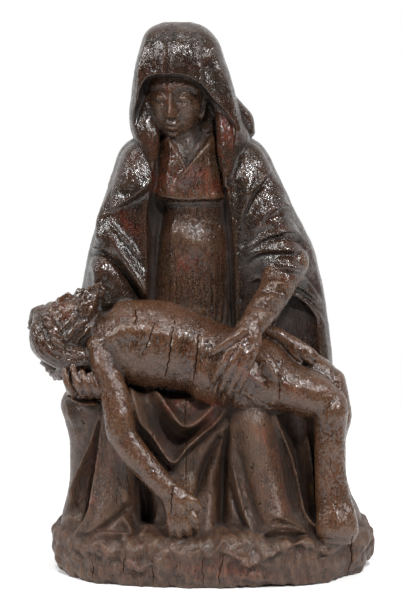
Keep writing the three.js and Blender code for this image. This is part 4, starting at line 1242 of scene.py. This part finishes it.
# %% Colour of the oak
CLOAK_OAK = "#0f0c08"
FLESH_OAK = "#251104"
GROUND_OAK = "#2d1a0c"
BARE_OAK = "#523925"
RED_PAINT = "#662210"
OCHRE_PAINT = "#7a5830"
SOOT_IN_PORES = "#0d0806"
CHIPPED_OAK = "#705239"
WORN_OAK = "#5f432f"
# painted shade: this colour darkens the hollows, where shade falls
SHADE_PAINTED_IN_HOLLOWS = "#180f0a"
# a little of each paint is left everywhere, besides where its strokes say
RED_EVERYWHERE = 0.10
OCHRE_EVERYWHERE = 0.02


def oak_colour(nodes, read):
    """Bare oak, darkest on the cloak, and over it layers of wear, paint, soot in the pores and painted shade
    in the hollows by their shares.
    """
    # the cloak keeps about a third of the wear that the rest shows
    worn_cloth = add_node(nodes, "ShaderNodeMapRange", {
        0: read["cloak"], 1: 0.0, 2: 1.0, 3: 1.0, 4: 0.35}).outputs[0]
    # paler, browner wood where the wax has gone, in ragged patches and along the grain
    bare = add_node(nodes, "ShaderNodeMath", {
        0: read["scraps"], 1: 0.5, 2: read["grain"]}, operation="MULTIPLY_ADD").outputs[0]
    bare = add_node(nodes, "ShaderNodeMapRange", {0: bare, 1: 0.74, 2: 0.95, 3: 0.0, 4: 0.4}).outputs[0]
    # flecks a millimetre across, where the wax is chipped to the wood
    fleck = add_node(nodes, "ShaderNodeMapRange", {
        0: read["grit"], 1: 0.54, 2: 0.66, 3: 0.0, 4: 0.45}).outputs[0]
    worn = add_node(nodes, "ShaderNodeMath", {0: read["ridge"], 1: 0.3}, operation="MULTIPLY").outputs[0]
    bare, fleck, worn = (
        add_node(nodes, "ShaderNodeMath", {0: share, 1: worn_cloth}, operation="MULTIPLY").outputs[0]
        for share in (bare, fleck, worn))
    # painted shade: darker in the hollows, where shade falls
    sunk = add_node(nodes, "ShaderNodeMath", {0: read["hollow"], 1: 0.6}, operation="MULTIPLY").outputs[0]
    # paint in ragged remains
    remains = []
    for paint, everywhere, pattern, low, high in (("red", RED_EVERYWHERE, "patches", 0.42, 0.60),
                                                  ("ochre", OCHRE_EVERYWHERE, "scraps", 0.45, 0.62)):
        ragged = add_node(nodes, "ShaderNodeMapRange", {0: read[pattern], 1: low, 2: high}).outputs[0]
        where = add_node(nodes, "ShaderNodeMath", {0: read[paint], 1: everywhere}, operation="ADD").outputs[0]
        remains.append(add_node(nodes, "ShaderNodeMath", {0: where, 1: ragged},
                                operation="MULTIPLY").outputs[0])
    layers = (
        (read["flesh"], FLESH_OAK), (read["ground"], GROUND_OAK), (bare, BARE_OAK),
        (remains[0], RED_PAINT), (remains[1], OCHRE_PAINT), (read["open pores"], SOOT_IN_PORES),
        (fleck, CHIPPED_OAK), (worn, WORN_OAK), (sunk, SHADE_PAINTED_IN_HOLLOWS),
    )
    colour = linear(CLOAK_OAK)
    for share, code in layers:
        colour = add_node(nodes, "ShaderNodeMix", {0: share, 6: colour, 7: linear(code)},
                          data_type="RGBA").outputs[2]
    return colour


# %% Gloss of the wax
def wax_roughness(nodes, read):
    """Glossiest on the bodies and the cloak, nearly gone from the skirt and the rock, and dull in
    hollows and wherever a millimetre of wax is chipped off."""
    rough = add_node(nodes, "ShaderNodeMapRange", {
        0: read["ground"], 1: 0.0, 2: 1.0, 3: 0.07, 4: 0.35}).outputs[0]
    thin = add_node(nodes, "ShaderNodeMapRange", {
        0: read["scraps"], 1: 0.40, 2: 0.62, 3: -0.02, 4: 0.03}).outputs[0]
    chips = add_node(nodes, "ShaderNodeMapRange", {
        0: read["grit"], 1: 0.49, 2: 0.55, 3: -0.02, 4: 0.22}).outputs[0]
    dull = add_node(nodes, "ShaderNodeMath", {0: read["hollow"], 1: 0.6}, operation="MULTIPLY").outputs[0]
    for more in (thin, chips, dull):
        rough = add_node(nodes, "ShaderNodeMath", {0: rough, 1: more}, operation="ADD").outputs[0]
    return rough


# %% Wrinkles, crackle and pores
# heights in metres
WRINKLE_HEIGHT = 0.00035
GRAIN_HEIGHT = 0.0002
PORE_DEPTH = 0.0005
# domes of crackled wax 3 mm across, and how far each leans its own way
DOMES_PER_METRE = 320.0
DOME_LEAN = 0.28


def wax_and_wood_relief(nodes, read):
    """Relief finer than the mesh: wrinkled and crackled wax, grain, and pores."""
    cells = add_node(nodes, "ShaderNodeTexVoronoi", {"Vector": read["place"], "Scale": DOMES_PER_METRE})
    # the wrinkles stand a third of a millimetre high on the bodies and two thirds of that on the cloak
    thick = add_node(nodes, "ShaderNodeMapRange", {
        0: read["flesh"], 1: 0.0, 2: 1.0, 3: 0.65, 4: 1.0}).outputs[0]
    wrinkles = add_node(nodes, "ShaderNodeMath", {
        0: cells.outputs["Distance"], 1: -0.3, 2: read["ripples"]}, operation="MULTIPLY_ADD").outputs[0]
    wrinkles = add_node(nodes, "ShaderNodeMath", {0: wrinkles, 1: thick}, operation="MULTIPLY").outputs[0]
    wrinkles = add_node(nodes, "ShaderNodeMath", {
        0: read["grit"], 1: 0.12, 2: wrinkles}, operation="MULTIPLY_ADD").outputs[0]
    # each dome leans by up to a few degrees, so that the light breaks up into glints
    away = add_node(nodes, "ShaderNodeVectorMath", {
        0: read["place"], 1: cells.outputs["Position"]}, operation="SUBTRACT").outputs[0]
    lean = add_node(nodes, "ShaderNodeVectorMath", {
        0: cells.outputs["Color"], 1: (0.5, 0.5, 0.5)}, operation="SUBTRACT").outputs[0]
    slope = add_node(nodes, "ShaderNodeVectorMath", {
        0: away, 1: lean}, operation="DOT_PRODUCT").outputs["Value"]
    slope = add_node(nodes, "ShaderNodeMath", {0: slope, 1: thick}, operation="MULTIPLY").outputs[0]
    # pores stand open on the skirt and the rock, and are nearly filled with wax elsewhere
    deep = add_node(nodes, "ShaderNodeMapRange", {
        0: read["ground"], 1: 0.0, 2: 1.0, 3: 0.3, 4: 1.0}).outputs[0]
    deep = add_node(nodes, "ShaderNodeMath", {
        0: read["open pores"], 1: deep}, operation="MULTIPLY").outputs[0]
    relief = add_node(nodes, "ShaderNodeBump", {
        "Height": wrinkles, "Strength": 1.0, "Distance": WRINKLE_HEIGHT}).outputs[0]
    for height, distance, sunk in ((slope, DOME_LEAN, False), (read["grain"], GRAIN_HEIGHT, False),
                                   (deep, PORE_DEPTH, True)):
        relief = add_node(nodes, "ShaderNodeBump", {
            "Height": height, "Strength": 1.0, "Distance": distance, "Normal": relief},
            invert=sunk).outputs[0]
    return relief


# %% Dark waxed oak
# the refraction of wax and old varnish
WAX_IOR = 1.48


def waxed_oak():
    material = bpy.data.materials.new("dark waxed oak")
    material.use_nodes = True
    nodes = material.node_tree
    nodes.nodes.clear()
    read = readings(nodes)
    shader = add_node(nodes, "ShaderNodeBsdfPrincipled", {
        "Base Color": oak_colour(nodes, read), "Roughness": wax_roughness(nodes, read),
        "Normal": wax_and_wood_relief(nodes, read), "IOR": WAX_IOR})
    add_node(nodes, "ShaderNodeOutputMaterial", {"Surface": shader.outputs[0]})
    print("dark waxed oak:", len(nodes.nodes), "nodes")
    return material


# %% [markdown]
# ## The finished piece
# The carving is one piece of wood, so it becomes one object in place of the whole solid. It is moved
# from drawn millimetres to the frame's metres inside its mesh, so that the object sits unturned at
# the origin and the patterns keep their real sizes.

# %% The finished piece
points = points_of(oak)
points[:, 2] += LIFT
move_points(oak, points * METRES)
oak.shade_smooth()
oak.materials.clear()
oak.materials.append(waxed_oak())
oak.name = "pieta_carving"
carving = as_object(oak, "pieta_carving")
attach(carving, "root")
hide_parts(NODE)
print("finished piece:", [round(1000 * size) for size in carving.dimensions], "mm")

# %% [markdown]
# ## The studio
# Dark glossy wood shows its shape by what it mirrors. So the room is white behind and dim in front, two
# narrow tall strips of light at the sides draw long highlights down the folds, a small box lights
# the front, and a weak wide sun from above lays a soft shadow on a pale floor.

# %% Floor
FLOOR_COLOUR = "#ebebeb"
FLOOR_ROUGHNESS = 0.9
floor_mesh = bpy.data.meshes.new("floor")
bm = bmesh.new()
bmesh.ops.create_grid(bm, x_segments=1, y_segments=1, size=1.0)
bm.to_mesh(floor_mesh)
bm.free()
floor = as_object(floor_mesh, "floor")
pale = bpy.data.materials.new("pale studio floor")
pale.use_nodes = True
paint = pale.node_tree.nodes["Principled BSDF"].inputs
paint["Base Color"].default_value = linear(FLOOR_COLOUR)
paint["Roughness"].default_value = FLOOR_ROUGHNESS
floor_mesh.materials.append(pale)
print("floor:", [round(size, 2) for size in floor.dimensions], "m")

# %% The room
WHITE = (1, 1, 1, 1)
DIM_FRONT = 0.08
scene = bpy.context.scene
scene.view_settings.view_transform = "Standard"
world = bpy.data.worlds.new("studio")
scene.world = world
world.use_nodes = True
sky = world.node_tree
sky.nodes.clear()
# white all round to the camera; the carving sees a white wall behind it and a dimmer room in front
camera_ray = add_node(sky, "ShaderNodeLightPath").outputs["Is Camera Ray"]
direction = add_node(sky, "ShaderNodeTexCoord").outputs["Generated"]
direction = add_node(sky, "ShaderNodeSeparateXYZ", {0: direction}).outputs[1]
wall = add_node(sky, "ShaderNodeMapRange", {0: direction, 1: 0.0, 2: 0.5, 3: DIM_FRONT, 4: 1.0}).outputs[0]
seen_white = add_node(sky, "ShaderNodeBackground", {"Color": WHITE, "Strength": 1.0}).outputs[0]
lit_room = add_node(sky, "ShaderNodeBackground", {"Color": WHITE, "Strength": wall}).outputs[0]
both = add_node(sky, "ShaderNodeMixShader", {0: camera_ray, 1: lit_room, 2: seen_white}).outputs[0]
add_node(sky, "ShaderNodeOutputWorld", {"Surface": both})
print("room:", len(sky.nodes), "nodes")

# %% Light
LIGHT_AIM = (0, 0, 0.35)
# (name, place, size in metres, watts)
LAMPS = [
    ("left strip", (-2.0, -0.9, 1.5), (0.12, 0.9), 50),
    ("right strip", (1.9, -1.0, 1.6), (0.12, 0.8), 44),
    ("front box", (0.5, -1.9, 1.9), (0.18, 0.16), 64),
]
SUN_STRENGTH = 1.5
SUN_SOFTNESS = math.radians(12)
SUN_WAY = Vector((0.15, 0.25, -1))


def hung(name, data):
    """A lamp in the scene, still at the origin."""
    lamp = bpy.data.objects.new(name, data)
    scene.collection.objects.link(lamp)
    return lamp


for name, place, size, power in LAMPS:
    light = bpy.data.lights.new(name, "AREA")
    light.shape = "RECTANGLE"
    light.size, light.size_y = size
    light.energy = power
    lamp = hung(name, light)
    lamp.location = place
    lamp.rotation_euler = (Vector(LIGHT_AIM) - Vector(place)).to_track_quat("-Z", "Y").to_euler()
sunlight = bpy.data.lights.new("overhead", "SUN")
sunlight.energy = SUN_STRENGTH
sunlight.angle = SUN_SOFTNESS
hung("overhead", sunlight).rotation_euler = SUN_WAY.to_track_quat("-Z", "Y").to_euler()
print("lamps:", [lamp[0] for lamp in LAMPS] + ["overhead"])

# %% Camera
SENSOR_WIDTH = 36
FOCAL_LENGTH = 134.82
camera_data = bpy.data.cameras.new("camera")
camera = bpy.data.objects.new("camera", camera_data)
scene.collection.objects.link(camera)
scene.camera = camera
centre = (VIEW_CENTRE + Vector((0, 0, LIFT))) * METRES
camera.location = (EYE + Vector((0, 0, LIFT))) * METRES
camera.rotation_euler = (centre - camera.location).to_track_quat("-Z", "Y").to_euler()
camera_data.sensor_width = SENSOR_WIDTH
camera_data.lens = FOCAL_LENGTH
print("camera:", [round(value, 3) for value in camera.location])
